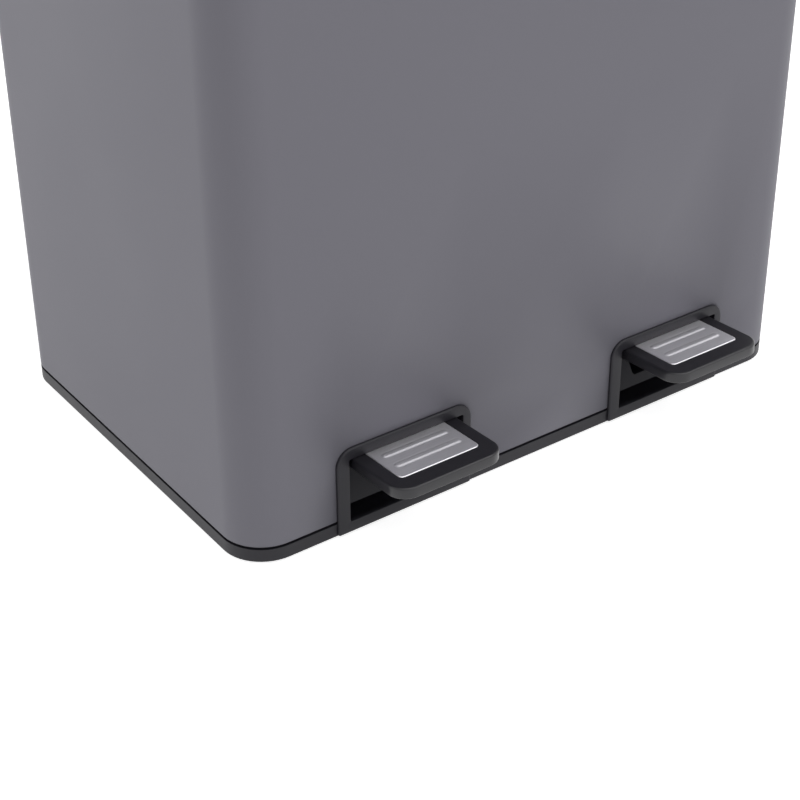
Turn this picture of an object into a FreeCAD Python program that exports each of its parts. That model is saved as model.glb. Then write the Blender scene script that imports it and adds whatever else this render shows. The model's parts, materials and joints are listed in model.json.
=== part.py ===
import FreeCAD, Part
import math
import os

import Sketcher

# Double pedal bin for recycling: a folded steel body on a plastic base, two pedals at the
# front, and behind each pedal a push rod that opens one of the two lids.
# Millimetres. X runs to the right, Y to the back and Z up. The sub-parts are drawn from the
# body's front face (Y = 0), its middle (X = 0) and the floor (Z = 0), and then moved forward
# together, so that the origin is the middle of the footprint on the floor.

SIZES = [
    # body, base and feet
    ("body_width", 500, "outside width of the steel body"),
    ("body_depth", 338, "outside depth of the steel body"),
    ("corner_radius", 32, "outside radius of the body's four upright corners"),
    ("shell_height", 555, "height of the steel sheet"),
    ("sheet_gauge", 0.8, "thickness of the painted steel sheet"),
    ("hem_height", 7, "height of the folded hems of the sheet"),
    ("seam_width", 12, "width of the lapped seam at the back"),
    ("fit_gap", 0.3, "clearance between parts that sit together"),
    ("running_gap", 0.05, "radial clearance of a pin in its bore"),
    ("foot_height", 2, "how far the rubber feet stand out below the base"),
    ("foot_length", 30, "length of a rubber foot"),
    ("foot_width", 14, "width of a rubber foot"),
    ("foot_inset", 46, "distance of a foot from the sides of the body"),
    ("ring_height", 9.6, "height of the visible base ring"),
    ("shadow_gap", 1.8, "dark gap between the base ring and the sheet"),
    ("tray_floor", 3, "thickness of the base floor"),
    ("tray_wall", 3, "thickness of the base's upstand"),
    ("upstand_height", 28, "height of the base's upstand inside the sheet"),
    ("deck_height", 64, "height of the base's ribs, which carry the buckets"),
    ("rib_gauge", 4, "thickness of the bearing ribs beside a pedal arm"),
    ("rib_front", 60, "front end of the ribs"),
    ("rib_margin", 53, "distance from the ribs to the body's back"),
    ("outrigger", 86, "distance of the outer ribs from the pedal's middle"),
    # pedal surround
    ("pedal_inset", 2.2, "how far a pedal lies inwards of the middle of its half"),
    ("bezel_width", 113.4, "width of a pedal surround"),
    ("bezel_height", 67.6, "height of a pedal surround"),
    ("bezel_corner", 13, "radius of a surround's upper corners"),
    ("bezel_proud", 2.3, "how far a surround stands out from the sheet"),
    ("bezel_lap", 5, "how far a surround laps over the cut-out in the sheet"),
    ("opening_width", 96, "width of the opening round a pedal"),
    ("opening_height", 50, "height of the opening round a pedal"),
    ("opening_sill", 9, "height of the surround's lower bar"),
    ("opening_shift", 1.2, "how far the opening lies off the surround's middle"),
    ("opening_corner", 1.5, "radius of the opening's corners"),
    ("well_wall", 2, "wall thickness of the well behind the opening"),
    ("well_floor", 10, "depth of the well at its floor"),
    ("well_top", 42, "depth of the well at its top"),
    ("well_gap", 3.2, "height of the open gap under the well's sloping back"),
    # pedal tread and its steel plate
    ("tread_width", 88.6, "width of a tread"),
    ("tread_reach", 57.5, "how far a tread stands out from the body"),
    ("tread_length", 70, "length of a tread from front to back"),
    ("tread_thickness", 8, "height of a tread's edge"),
    ("tread_corner", 14, "radius of a tread's front corners"),
    ("tread_edge", 1.2, "bevel along a tread's upper edge"),
    ("tread_tilt", 2.94, "slope of a tread at rest, its front end up"),
    ("tread_height", 55.5, "height of the lower front edge of a tread"),
    ("tread_wall", 2.5, "wall thickness of a tread"),
    ("plate_width", 66.4, "width of the steel plate on a tread"),
    ("plate_length", 46, "length of the steel plate on a tread"),
    ("plate_margin", 15, "distance from the tread's front edge to the plate"),
    ("plate_gauge", 0.8, "thickness of the steel plate"),
    ("plate_sunk", 0.5, "depth of the plate's seat in the tread"),
    ("plate_corner", 4, "radius of the plate's corners"),
    ("bead_length", 54, "length of a pressed bead on the plate"),
    ("bead_width", 5, "width of a pressed bead"),
    ("bead_rise", 0.9, "height of a pressed bead"),
    ("bead_pitch", 15, "distance between the two beads"),
    ("bead_start", 29.6, "distance from the tread's front edge to the first bead"),
    # pedal arm
    ("arm_width", 28, "width of the pressed pedal arm"),
    ("arm_gauge", 2, "sheet thickness of the pedal arm"),
    ("arm_depth", 14, "depth of the pedal arm's channel"),
    ("arm_top", 37, "height of the pedal arm's level part"),
    ("arm_knee", 62, "where the arm turns level behind the well"),
    ("arm_tail", 12, "how far the arm reaches past the push rod"),
    ("tongue_start", 12, "distance from the tread's front edge to the arm's tongue"),
    ("tongue_end", 74, "distance from the tread's front edge to the tongue's bend"),
    ("pivot_depth", 151, "distance of the pedal axle behind the body's front"),
    ("pivot_height", 30, "height of the pedal axle"),
    ("axle_radius", 4, "radius of the pedal axle"),
    ("axle_overhang", 2, "how far the axle stands out of its bearing ribs"),
    ("bumper_size", 12, "width and length of the rubber stop under an arm"),
    ("bumper_height", 6, "height of the rubber stop under an arm"),
    ("bumper_lead", 18, "how far the rubber stop lies in front of the push rod"),
    # push rod and lid crank
    ("rod_radius", 3, "radius of a push rod"),
    ("rod_grip", 8, "how deep a push rod sits in its end pieces"),
    ("foot_round", 6, "radius of the round underside of a rod's foot"),
    ("crank_radius", 15, "distance from the lid's hinge to the crank's pin"),
    ("crank_half_turn", 40, "half of the angle that a lid opens"),
    ("crank_gauge", 3, "thickness of the crank plate"),
    ("crank_tail", 44, "how far the crank plate reaches into its lid"),
    ("crank_web", 9, "height of the crank plate in its lid"),
    ("crank_side", 2, "distance of the crank plate from the saddle"),
    ("crank_pin_radius", 2.5, "radius of the crank's pin"),
    ("saddle_width", 12, "width of the saddle under the crank's pin"),
    ("saddle_length", 13, "length of the saddle under the crank's pin"),
    ("saddle_drop", 13, "distance from the crank's pin to the saddle's underside"),
    ("saddle_play", 0.6, "play under the crank's pin in the saddle"),
    ("guide_height", 300, "height of the bracket that guides a push rod"),
    # collar, hinges and lids
    ("band_height", 14, "visible height of the plastic collar"),
    ("skirt_height", 20, "height of the collar's skirt inside the sheet"),
    ("collar_wall", 3, "wall thickness of the collar"),
    ("mouth_divide", 8.8, "half the width of the bar between the two mouths"),
    ("mouth_front", 14, "distance from the body's front to a mouth"),
    ("mouth_bar", 4.1, "width of the bar between a mouth and the hinge deck"),
    ("mouth_corner", 30, "radius of a mouth's corners"),
    ("axis_inset", 14.9, "distance of the lid hinge from the body's back"),
    ("axis_rise", 9, "height of the lid hinge above the collar"),
    ("pin_radius", 3, "radius of a lid's hinge pin"),
    ("ear_gauge", 4, "thickness of the collar's hinge ears"),
    ("knuckle_radius", 7, "radius of a lid's hinge knuckles"),
    ("knuckle_width", 8, "width of a lid's hinge knuckles"),
    ("knuckle_spread", 70, "distance of a knuckle from the middle of its lid"),
    ("slot_reach", 2.5, "how far the hinge cover's slots reach behind the hinge"),
    ("slot_play", 1, "gap beside a knuckle or crank in its slot"),
    ("barrel_radius", 27, "outside radius of the rounded hinge cover"),
    ("cover_rise", 20, "height of the hinge cover above the hinge"),
    ("cover_wall", 2, "wall thickness of the hinge cover"),
    ("lid_gap", 3, "gap between the two lids"),
    ("lid_height", 28, "height of a lid"),
    ("lid_corner", 10, "radius of a lid's other upright corners"),
    ("lid_edge", 3, "bevel along a lid's upper edge"),
    ("lid_clearance", 1, "gap between the collar and a closed lid"),
    ("lid_parting", 1.5, "gap between a closed lid and the hinge cover"),
    ("liner_wall", 2.5, "wall thickness of the plastic liner in a lid"),
    ("liner_height", 14, "height of the plastic liner in a lid"),
    # buckets
    ("bucket_play", 2, "gap between a bucket's rim and its mouth at the sides and back"),
    ("bucket_room", 6, "gap between a bucket's rim and its mouth at the front"),
    ("bucket_draft", 1, "slope of a bucket's walls, in degrees"),
    ("bucket_sunk", 22.4, "how far a bucket's rim lies below the collar's top"),
    ("bucket_wall", 2, "wall thickness of a bucket"),
    ("bucket_corner", 28, "radius of a bucket's upright corners"),
    ("rim_width", 4, "how far a bucket's rim stands out"),
    ("rim_height", 9, "height of a bucket's turned rim"),
    ("bail_radius", 2, "radius of a bucket's wire handle"),
    ("bail_bend", 9, "size of the slanting corners of the wire handle"),
    ("bail_ear_width", 24, "width of the ears that carry the wire handle"),
    ("bail_ear_gauge", 3, "thickness of the ears that carry the wire handle"),
    ("bail_lead", 12, "distance from a bucket's front to its handle's grip"),
    ("grip_radius", 6, "radius of the handle's grip"),
    ("grip_length", 110, "length of the handle's grip"),
]

os.makedirs("parts", exist_ok=True)
doc = FreeCAD.newDocument("double_pedal_bin")
sheet = doc.addObject("Spreadsheet::Sheet", "dims")
sheet.Label = "dims"
for row, (alias, number, meaning) in enumerate(SIZES, start=1):
    sheet.set(f"A{row}", meaning)
    sheet.set(f"B{row}", str(number))
    sheet.setAlias(f"B{row}", alias)
doc.recompute()


class Size:
    """A length or angle with the sheet expression that it is worked out by."""

    def __init__(self, value, text):
        self.value = float(value)
        self.text = text

    def __add__(self, other):
        other = size(other)
        return Size(self.value + other.value, f"({self.text} + {other.text})")

    def __sub__(self, other):
        other = size(other)
        return Size(self.value - other.value, f"({self.text} - {other.text})")

    def __mul__(self, other):
        other = size(other)
        return Size(self.value * other.value, f"{self.text} * {other.text}")

    def __truediv__(self, other):
        other = size(other)
        return Size(self.value / other.value, f"{self.text} / {other.text}")

    def __neg__(self):
        return Size(-self.value, f"(0 - {self.text})")

    __radd__ = __add__
    __rmul__ = __mul__

    def __rsub__(self, other):
        return size(other) - self


def size(item):
    """Gives a plain number the same form as a named size."""
    return item if isinstance(item, Size) else Size(item, f"({item})")


def sine(angle):
    return Size(math.sin(math.radians(angle.value)), f"sin({angle.text})")


def cosine(angle):
    return Size(math.cos(math.radians(angle.value)), f"cos({angle.text})")


def tangent(angle):
    return Size(math.tan(math.radians(angle.value)), f"tan({angle.text})")


class Dims:
    """Looks up a named size of the sheet."""

    def __getattr__(self, alias):
        return Size(sheet.get(alias), "dims." + alias)


d = Dims()

# Heights that several sub-parts share.
ring_bottom = d.foot_height
ring_top = ring_bottom + d.ring_height
floor_top = ring_bottom + d.tray_floor
shell_bottom = ring_top + d.shadow_gap
shell_top = shell_bottom + d.shell_height
collar_bottom = shell_top + d.fit_gap
collar_top = collar_bottom + d.band_height
skirt_bottom = collar_bottom - d.skirt_height
hinge_deck = collar_top - d.band_height - d.collar_wall
axis_height = collar_top + d.axis_rise
cover_top = axis_height + d.cover_rise
lid_bottom = collar_top + d.lid_clearance
liner_bottom = lid_bottom + d.fit_gap
liner_top = liner_bottom + d.liner_height
liner_floor = liner_bottom + d.liner_wall
sill_height = ring_bottom + d.opening_sill
lintel_height = sill_height + d.opening_height
bucket_floor = d.deck_height + d.fit_gap
bucket_rim = collar_top - d.bucket_sunk
bucket_height = bucket_rim - bucket_floor
bail_height = bucket_rim + d.fit_gap + d.bail_radius

# Places along Y and X that several sub-parts share.
front = (d.tread_reach - d.body_depth) / 2
pedal_x = d.body_width / 4 - d.pedal_inset
lap = 2 * d.sheet_gauge + d.fit_gap
axis_depth = d.body_depth - d.axis_inset
cavity_front = axis_depth - d.barrel_radius
mouth_half = pedal_x - d.mouth_divide
mouth_back = cavity_front - d.mouth_bar
bucket_half = mouth_half - d.rim_width - d.bucket_play
bucket_front = d.mouth_front + d.rim_width + d.bucket_room
bucket_back = mouth_back - d.rim_width - d.bucket_play
rib_back = d.body_depth - d.rib_margin
bail_arm_x = bucket_half + d.rim_width / 4
bail_pivot = (bucket_front + bucket_back) / 2
bail_front = bucket_front + d.bail_lead
crank_reach = d.crank_radius * cosine(d.crank_half_turn)
crank_drop = d.crank_radius * sine(d.crank_half_turn)
rod_depth = axis_depth - (d.crank_radius + crank_reach) / 2
saddle_slot = (d.crank_radius - crank_reach) / 2 + d.crank_pin_radius + d.saddle_play
pin_rest_depth = axis_depth - crank_reach
pin_rest_height = axis_height - crank_drop
rod_foot_centre = d.arm_top + d.fit_gap + d.foot_round
lid_back = axis_depth - d.barrel_radius - d.lid_parting
crank_start = d.saddle_width / 2 + d.crank_side
bearing_inner = d.arm_width / 2 + 1
bearing_outer = bearing_inner + d.rib_gauge

SIDES = (("left", -1), ("right", 1))
nodes = []


# ---------------------------------------------------------------- drawing helpers

def bind(item, prop, value):
    """Ties a property of a document object to the sheet."""
    item.setExpression(prop, size(value).text)


def new_body(name):
    return doc.addObject("PartDesign::Body", name)


def sketch_on(body, role, offset=None):
    """Starts a sketch on one of the body's own planes, moved along its normal."""
    sketch = body.newObject("Sketcher::SketchObject", body.Name + "_sketch")
    plane = next(item for item in body.Origin.OriginFeatures if item.Role == role)
    sketch.AttachmentSupport = [(plane, "")]
    sketch.MapMode = "FlatFace"
    if offset is not None:
        bind(sketch, "AttachmentOffset.Base.z", offset)
    return sketch


def measure(sketch, kind, geometry, point, value):
    """Dimensions a point of the sketch from its origin."""
    value = size(value)
    index = sketch.addConstraint(Sketcher.Constraint(kind, -1, 1, geometry, point, value.value))
    sketch.setExpression(f"Constraints[{index}]", value.text)


def polygon(sketch, points, closed=True):
    """An outline or a path of straight lines, each corner dimensioned from the origin."""
    first = sketch.GeometryCount
    corners = [FreeCAD.Vector(size(u).value, size(v).value, 0) for u, v in points]
    count = len(corners)
    runs = count if closed else count - 1
    for i in range(runs):
        sketch.addGeometry(Part.LineSegment(corners[i], corners[(i + 1) % count]), False)
    for i in range(count if closed else count - 2):
        after = first + (i + 1) % runs
        sketch.addConstraint(Sketcher.Constraint("Coincident", first + i, 2, after, 1))
    for i, (u, v) in enumerate(points):
        line, end = (first + i, 1) if i < runs else (first + runs - 1, 2)
        measure(sketch, "DistanceX", line, end, u)
        measure(sketch, "DistanceY", line, end, v)


def circle(sketch, u, v, radius):
    radius = size(radius)
    centre = FreeCAD.Vector(size(u).value, size(v).value, 0)
    index = sketch.addGeometry(Part.Circle(centre, FreeCAD.Vector(0, 0, 1), radius.value), False)
    measure(sketch, "DistanceX", index, 3, u)
    measure(sketch, "DistanceY", index, 3, v)
    rule = sketch.addConstraint(Sketcher.Constraint("Radius", index, radius.value))
    sketch.setExpression(f"Constraints[{rule}]", radius.text)


def rounded(sketch, corners):
    """An outline of level and upright lines with rounded corners.

    Each corner is (u, v, radius), and a radius of None leaves it sharp.
    """
    points = [(size(u), size(v), None if r is None else size(r)) for u, v, r in corners]
    count = len(points)
    lines = []
    for i in range(count):
        u0, v0, r0 = points[i]
        u1, v1, r1 = points[(i + 1) % count]
        step = FreeCAD.Vector(u1.value - u0.value, v1.value - v0.value, 0)
        step.normalize()
        start = FreeCAD.Vector(u0.value, v0.value, 0) + step * (r0.value if r0 else 0)
        end = FreeCAD.Vector(u1.value, v1.value, 0) - step * (r1.value if r1 else 0)
        line = sketch.addGeometry(Part.LineSegment(start, end), False)
        upright = abs(step.x) < abs(step.y)
        sketch.addConstraint(Sketcher.Constraint("Vertical" if upright else "Horizontal", line))
        if upright:
            measure(sketch, "DistanceX", line, 1, u0)
        else:
            measure(sketch, "DistanceY", line, 1, v0)
        lines.append((line, start, end, step))
    for i in range(count):
        before, after = lines[i], lines[(i + 1) % count]
        radius = points[(i + 1) % count][2]
        if radius is None:
            sketch.addConstraint(Sketcher.Constraint("Coincident", before[0], 2, after[0], 1))
            continue
        turn = before[3].x * after[3].y - before[3].y * after[3].x
        side = 1 if turn > 0 else -1
        inward = FreeCAD.Vector(-before[3].y, before[3].x, 0) * side
        centre = before[2] + inward * radius.value
        from_start = math.atan2(*(before[2] - centre)[1::-1])
        from_end = math.atan2(*(after[1] - centre)[1::-1])
        low, high = (from_start, from_end) if side > 0 else (from_end, from_start)
        shape = Part.Circle(centre, FreeCAD.Vector(0, 0, 1), radius.value)
        if high < low:
            high += 2 * math.pi
        arc = sketch.addGeometry(Part.ArcOfCircle(shape, low, high), False)
        first, last = (1, 2) if side > 0 else (2, 1)
        sketch.addConstraint(Sketcher.Constraint("Tangent", before[0], 2, arc, first))
        sketch.addConstraint(Sketcher.Constraint("Tangent", arc, last, after[0], 1))
        rule = sketch.addConstraint(Sketcher.Constraint("Radius", arc, radius.value))
        sketch.setExpression(f"Constraints[{rule}]", radius.text)


def rectangle(sketch, left, low, right, high, radius=None):
    rounded(sketch, [(left, low, radius), (right, low, radius),
                     (right, high, radius), (left, high, radius)])


def plan_outline(sketch, inset):
    """The body's plan, a rounded rectangle, drawn in by the inset."""
    half = d.body_width / 2 - inset
    rectangle(sketch, -half, inset, half, d.body_depth - inset, d.corner_radius - inset)


def extrude(body, kind, sketch, length, symmetric=False, reverse=False, draft=None):
    """Pads or pockets the sketch and makes sure that the feature changed the body."""
    feature = body.newObject("PartDesign::" + kind, f"{body.Name}_{kind.lower()}")
    feature.Profile = sketch
    feature.SideType = "Symmetric" if symmetric else "One side"
    feature.Reversed = reverse
    bind(feature, "Length", length)
    if draft is not None:
        bind(feature, "TaperAngle", draft)
    before = feature.BaseFeature.Shape.Volume if feature.BaseFeature else 0.0
    doc.recompute()
    change = feature.Shape.Volume - before
    if (change <= 0) if kind == "Pad" else (change >= 0):
        raise RuntimeError(f"{feature.Name} changed nothing")
    return feature


def pad(body, sketch, length, **how):
    return extrude(body, "Pad", sketch, length, **how)


def pocket(body, sketch, length, **how):
    return extrude(body, "Pocket", sketch, length, **how)


def dress(body, kind, prop, amount, choose):
    """Fillets or chamfers the edges of the body's last feature that the choice picks."""
    base = body.Tip
    names = [f"Edge{i}" for i, edge in enumerate(base.Shape.Edges, start=1) if choose(edge)]
    feature = body.newObject("PartDesign::" + kind, f"{body.Name}_{kind.lower()}")
    feature.Base = (base, names)
    bind(feature, prop, amount)
    doc.recompute()


def bevel(body, width, choose):
    dress(body, "Chamfer", "Size", width, choose)


def at_height(height):
    """Picks level edges at one height."""
    def choose(edge):
        box = edge.BoundBox
        return abs(box.ZMin - height.value) < 0.01 and abs(box.ZMax - height.value) < 0.01
    return choose


def block(name, length, width, height, start=()):
    """A block from its lowest corner, which lies at the start point."""
    result = doc.addObject("Part::Box", name)
    for prop, value in (("Length", length), ("Width", width), ("Height", height)):
        bind(result, prop, value)
    for prop, value in zip("xyz", start):
        bind(result, "Placement.Base." + prop, value)
    return result


def rod(name, radius, length, axis="z", start=()):
    """A cylinder from a start point along one of the axes."""
    cylinder = doc.addObject("Part::Cylinder", name)
    turns = {"x": FreeCAD.Rotation(FreeCAD.Vector(0, 1, 0), 90),
             "y": FreeCAD.Rotation(FreeCAD.Vector(1, 0, 0), -90),
             "z": FreeCAD.Rotation()}
    cylinder.Placement = FreeCAD.Placement(FreeCAD.Vector(), turns[axis])
    bind(cylinder, "Radius", radius)
    bind(cylinder, "Height", length)
    for prop, value in zip("xyz", start):
        bind(cylinder, "Placement.Base." + prop, value)
    return cylinder


def joined(name, kind, items):
    """A boolean or a group of several document objects."""
    result = doc.addObject("Part::" + kind, name)
    if kind == "Cut":
        result.Base, result.Tool = items
    elif kind == "Compound":
        result.Links = items
    else:
        result.Shapes = items
    return result


def finish(item, label, x=0, y=0, z=0):
    """Names a sub-part, moves it to its place and lists it for the export."""
    item.Label = label
    bind(item, "Placement.Base.x", x)
    bind(item, "Placement.Base.y", front + y)
    bind(item, "Placement.Base.z", z)
    nodes.append(item)
    return item


# ---------------------------------------------------------------- body and base

def outer_shell():
    """The wrapped steel sheet with folded hems, a lapped back seam and two cut-outs."""
    body = new_body("outer_shell")
    outline = sketch_on(body, "XY_Plane", shell_bottom)
    plan_outline(outline, size(0))
    pad(body, outline, d.shell_height)
    bore = sketch_on(body, "XY_Plane", shell_bottom)
    plan_outline(bore, 2 * d.sheet_gauge)
    pocket(body, bore, d.shell_height, reverse=True)
    between = sketch_on(body, "XY_Plane", shell_bottom + d.hem_height)
    half = d.body_width / 2 - d.sheet_gauge
    radius = d.corner_radius - d.sheet_gauge
    seam = d.body_depth - d.sheet_gauge
    # the lap of the seam stays as a strip of double sheet at the middle of the back
    rounded(between, [(-half, d.sheet_gauge, radius), (half, d.sheet_gauge, radius),
                      (half, seam, radius), (d.seam_width / 2, seam, None),
                      (d.seam_width / 2, seam - d.sheet_gauge, None),
                      (-d.seam_width / 2, seam - d.sheet_gauge, None),
                      (-d.seam_width / 2, seam, None), (-half, seam, radius)])
    pocket(body, between, d.shell_height - 2 * d.hem_height, reverse=True)
    windows = sketch_on(body, "XZ_Plane")
    for _, side in SIDES:
        reach = d.bezel_width / 2 - d.bezel_lap
        rounded(windows, [
            (side * pedal_x - reach, shell_bottom - 1, None),
            (side * pedal_x + reach, shell_bottom - 1, None),
            (side * pedal_x + reach, ring_bottom + d.bezel_height - d.bezel_lap, 4),
            (side * pedal_x - reach, ring_bottom + d.bezel_height - d.bezel_lap, 4)])
    pocket(body, windows, d.corner_radius / 2)
    groove = sketch_on(body, "XY_Plane", shell_bottom)
    rectangle(groove, d.seam_width / 2 - d.sheet_gauge, d.body_depth - d.sheet_gauge / 2,
              d.seam_width / 2, d.body_depth + 1)
    pocket(body, groove, d.shell_height, reverse=True)
    return finish(body, "outer_shell")


def base_tray():
    """The moulded base: ring, upstand, floor, ribs that carry the buckets and axle bearings."""
    body = new_body("base_tray")
    ring = sketch_on(body, "XY_Plane", ring_bottom)
    plan_outline(ring, size(0))
    pad(body, ring, d.ring_height)
    upstand = sketch_on(body, "XY_Plane", ring_top)
    plan_outline(upstand, lap)
    pad(body, upstand, d.upstand_height)
    well = sketch_on(body, "XY_Plane", floor_top)
    plan_outline(well, lap + d.tray_wall)
    pocket(body, well, d.upstand_height + d.ring_height, reverse=True)
    upstand_top = ring_top + d.upstand_height

    ribs = sketch_on(body, "XY_Plane", floor_top - 1)
    for _, side in SIDES:
        for hand in (-1, 1):
            for near, far in ((bearing_inner, bearing_outer),
                              (d.outrigger, d.outrigger + d.tray_wall)):
                edges = sorted((side * pedal_x + hand * near, side * pedal_x + hand * far),
                               key=lambda item: item.value)
                rectangle(ribs, edges[0], d.rib_front, edges[1], rib_back)
    pad(body, ribs, d.deck_height - floor_top + 1)
    webs = sketch_on(body, "XY_Plane", floor_top - 1)
    for _, side in SIDES:
        for hand in (-1, 1):
            edges = sorted((side * pedal_x + hand * (bearing_outer - 1),
                            side * pedal_x + hand * (d.outrigger + 1)),
                           key=lambda item: item.value)
            for place in (d.rib_front + 30, rib_back - 30):
                rectangle(webs, edges[0], place, edges[1], place + d.tray_wall)
    pad(body, webs, d.deck_height - floor_top - 8)

    for _, side in SIDES:
        # open the front for the pedal's well, with a lower sill in the ring
        gate = sketch_on(body, "XY_Plane", sill_height - d.well_wall - d.fit_gap)
        reach = d.opening_width / 2 + d.well_wall + 2 * d.opening_shift
        rectangle(gate, side * pedal_x - reach, -1, side * pedal_x + reach, d.rib_front - 10)
        pocket(body, gate, upstand_top - sill_height + d.well_wall + 2, reverse=True)
        bearing = sketch_on(body, "YZ_Plane", side * pedal_x)
        circle(bearing, d.pivot_depth, d.pivot_height, d.axle_radius + d.running_gap)
        pocket(body, bearing, 2 * bearing_outer + 2, symmetric=True)
        post = sketch_on(body, "XY_Plane", floor_top - 1)
        half, place = d.bumper_size / 2, rod_depth - d.bumper_lead
        rectangle(post, side * pedal_x - half, place - half, side * pedal_x + half, place + half)
        bumper_top = d.arm_top - d.arm_gauge - d.fit_gap
        pad(body, post, bumper_top - d.bumper_height - floor_top + 1)
    return finish(body, "base_tray")


def base_feet():
    """Four rubber feet under the corners of the base."""
    reach = d.body_width / 2 - d.foot_inset
    pads = []
    for _, side in SIDES:
        for y in (d.foot_inset, d.body_depth - d.foot_inset):
            start = (side * reach - d.foot_length / 2, y - d.foot_width / 2, 0)
            pads.append(block("foot", d.foot_length, d.foot_width, d.foot_height, start))
    return finish(joined("base_feet", "Compound", pads), "base_feet")


# ---------------------------------------------------------------- pedals

def pedal_bezel(label, side):
    """A plastic surround with the well behind it, slotted for the pedal's arm."""
    body = new_body(label)
    face = sketch_on(body, "XZ_Plane")
    half = d.bezel_width / 2
    top = ring_bottom + d.bezel_height
    rounded(face, [(-half, ring_bottom, None), (half, ring_bottom, None),
                   (half, top, d.bezel_corner), (-half, top, d.bezel_corner)])
    pad(body, face, d.bezel_proud)
    proud = d.bezel_proud

    def front_rim(edge):
        return abs(edge.BoundBox.YMin + proud.value) < 0.01 > abs(edge.BoundBox.YMax + proud.value)
    bevel(body, d.bezel_proud * 0.45, front_rim)
    left = d.opening_shift - d.opening_width / 2
    right = d.opening_shift + d.opening_width / 2
    wall = d.well_wall
    tube = sketch_on(body, "XZ_Plane")
    rectangle(tube, left - wall, sill_height - wall, right + wall, lintel_height + wall,
              d.opening_corner + wall)
    pad(body, tube, d.well_top + wall, reverse=True)
    # the back of the well slopes away from its floor to its top
    behind = sketch_on(body, "YZ_Plane", d.opening_shift)
    polygon(behind, [(d.well_floor + wall, sill_height - 2 * wall),
                     (d.well_top + 3 * wall, sill_height - 2 * wall),
                     (d.well_top + 3 * wall, lintel_height + 2 * wall),
                     (d.well_top + wall, lintel_height + 2 * wall),
                     (d.well_top + wall, lintel_height), (d.well_floor + wall, sill_height)])
    pocket(body, behind, d.bezel_width, symmetric=True)
    inside = sketch_on(body, "YZ_Plane", d.opening_shift)
    polygon(inside, [(-2 * d.bezel_proud, sill_height), (d.well_floor, sill_height),
                     (d.well_top, lintel_height), (-2 * d.bezel_proud, lintel_height)])
    pocket(body, inside, d.opening_width, symmetric=True)
    # the arm passes through a slot that widens into an open gap along the floor
    slot = sketch_on(body, "XZ_Plane", -d.well_floor / 2)
    reach, gap_top = bearing_inner + 1, sill_height + d.well_gap
    polygon(slot, [(left, sill_height), (right, sill_height), (right, gap_top),
                   (reach, gap_top), (reach, lintel_height - wall),
                   (-reach, lintel_height - wall), (-reach, gap_top), (left, gap_top)])
    pocket(body, slot, d.well_top + wall)
    return finish(body, label, side * pedal_x)


def pedal_axle(label, side):
    half = bearing_outer + d.axle_overhang
    pin = rod(label, d.axle_radius, 2 * half, "x")
    return finish(pin, label, side * pedal_x - half, d.pivot_depth, d.pivot_height)


def pedal_bumper(label, side):
    top = d.arm_top - d.arm_gauge - d.fit_gap
    half = d.bumper_size / 2
    stop = block(label, d.bumper_size, d.bumper_size, d.bumper_height)
    return finish(stop, label, side * pedal_x - half, rod_depth - d.bumper_lead - half,
                  top - d.bumper_height)


def on_tread(along, up):
    """The place in the bin of a point that is drawn on the sloping tread."""
    run, rise = cosine(d.tread_tilt), sine(d.tread_tilt)
    return (along * run + up * rise - d.tread_reach, d.tread_height - along * rise + up * run)


def pedal_arm(label, side):
    """A pressed-steel channel: tongue under the tread, axle bore, level tail under the rod."""
    body = new_body(label)
    under = d.tread_thickness - d.tread_wall - d.plate_sunk - 0.2
    tongue_top = [on_tread(d.tongue_start, under), on_tread(d.tongue_end, under)]
    tongue_low = [on_tread(d.tongue_end - d.arm_gauge, under - d.arm_gauge),
                  on_tread(d.tongue_start, under - d.arm_gauge)]
    tail = rod_depth + d.arm_tail
    low = d.arm_top - d.arm_depth
    side_view = sketch_on(body, "YZ_Plane")
    polygon(side_view, [tongue_top[0], tongue_low[1], tongue_low[0],
                        (tongue_low[0][0] + d.arm_depth, d.arm_top + d.arm_gauge * 2),
                        (d.arm_knee + 4, low), (rod_depth - 4 * d.arm_tail, low),
                        (tail, low + d.arm_gauge * 2), (tail, d.arm_top),
                        (d.arm_knee, d.arm_top), tongue_top[1]])
    pad(body, side_view, d.arm_width, symmetric=True)
    hollow = sketch_on(body, "YZ_Plane")
    polygon(hollow, [(tongue_top[1][0], tongue_top[1][1] - d.arm_gauge * 1.1),
                     (tongue_top[1][0], low - d.arm_gauge),
                     (tail + 1, low - d.arm_gauge), (tail + 1, d.arm_top - d.arm_gauge),
                     (d.arm_knee, d.arm_top - d.arm_gauge)])
    pocket(body, hollow, d.arm_width - 2 * d.arm_gauge, symmetric=True)
    bore = sketch_on(body, "YZ_Plane")
    circle(bore, d.pivot_depth, d.pivot_height, d.axle_radius + d.running_gap)
    pocket(body, bore, d.arm_width + 2, symmetric=True)
    return finish(body, label, side * pedal_x)


def finish_tread(item, label, side):
    """Sets a piece that is drawn on the tread down on the tread's sloping place."""
    item.Placement.Rotation = FreeCAD.Rotation(FreeCAD.Vector(-1, 0, 0), d.tread_tilt.value)
    bind(item, "Placement.Rotation.Angle", d.tread_tilt)
    return finish(item, label, side * pedal_x, -d.tread_reach, d.tread_height)


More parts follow.
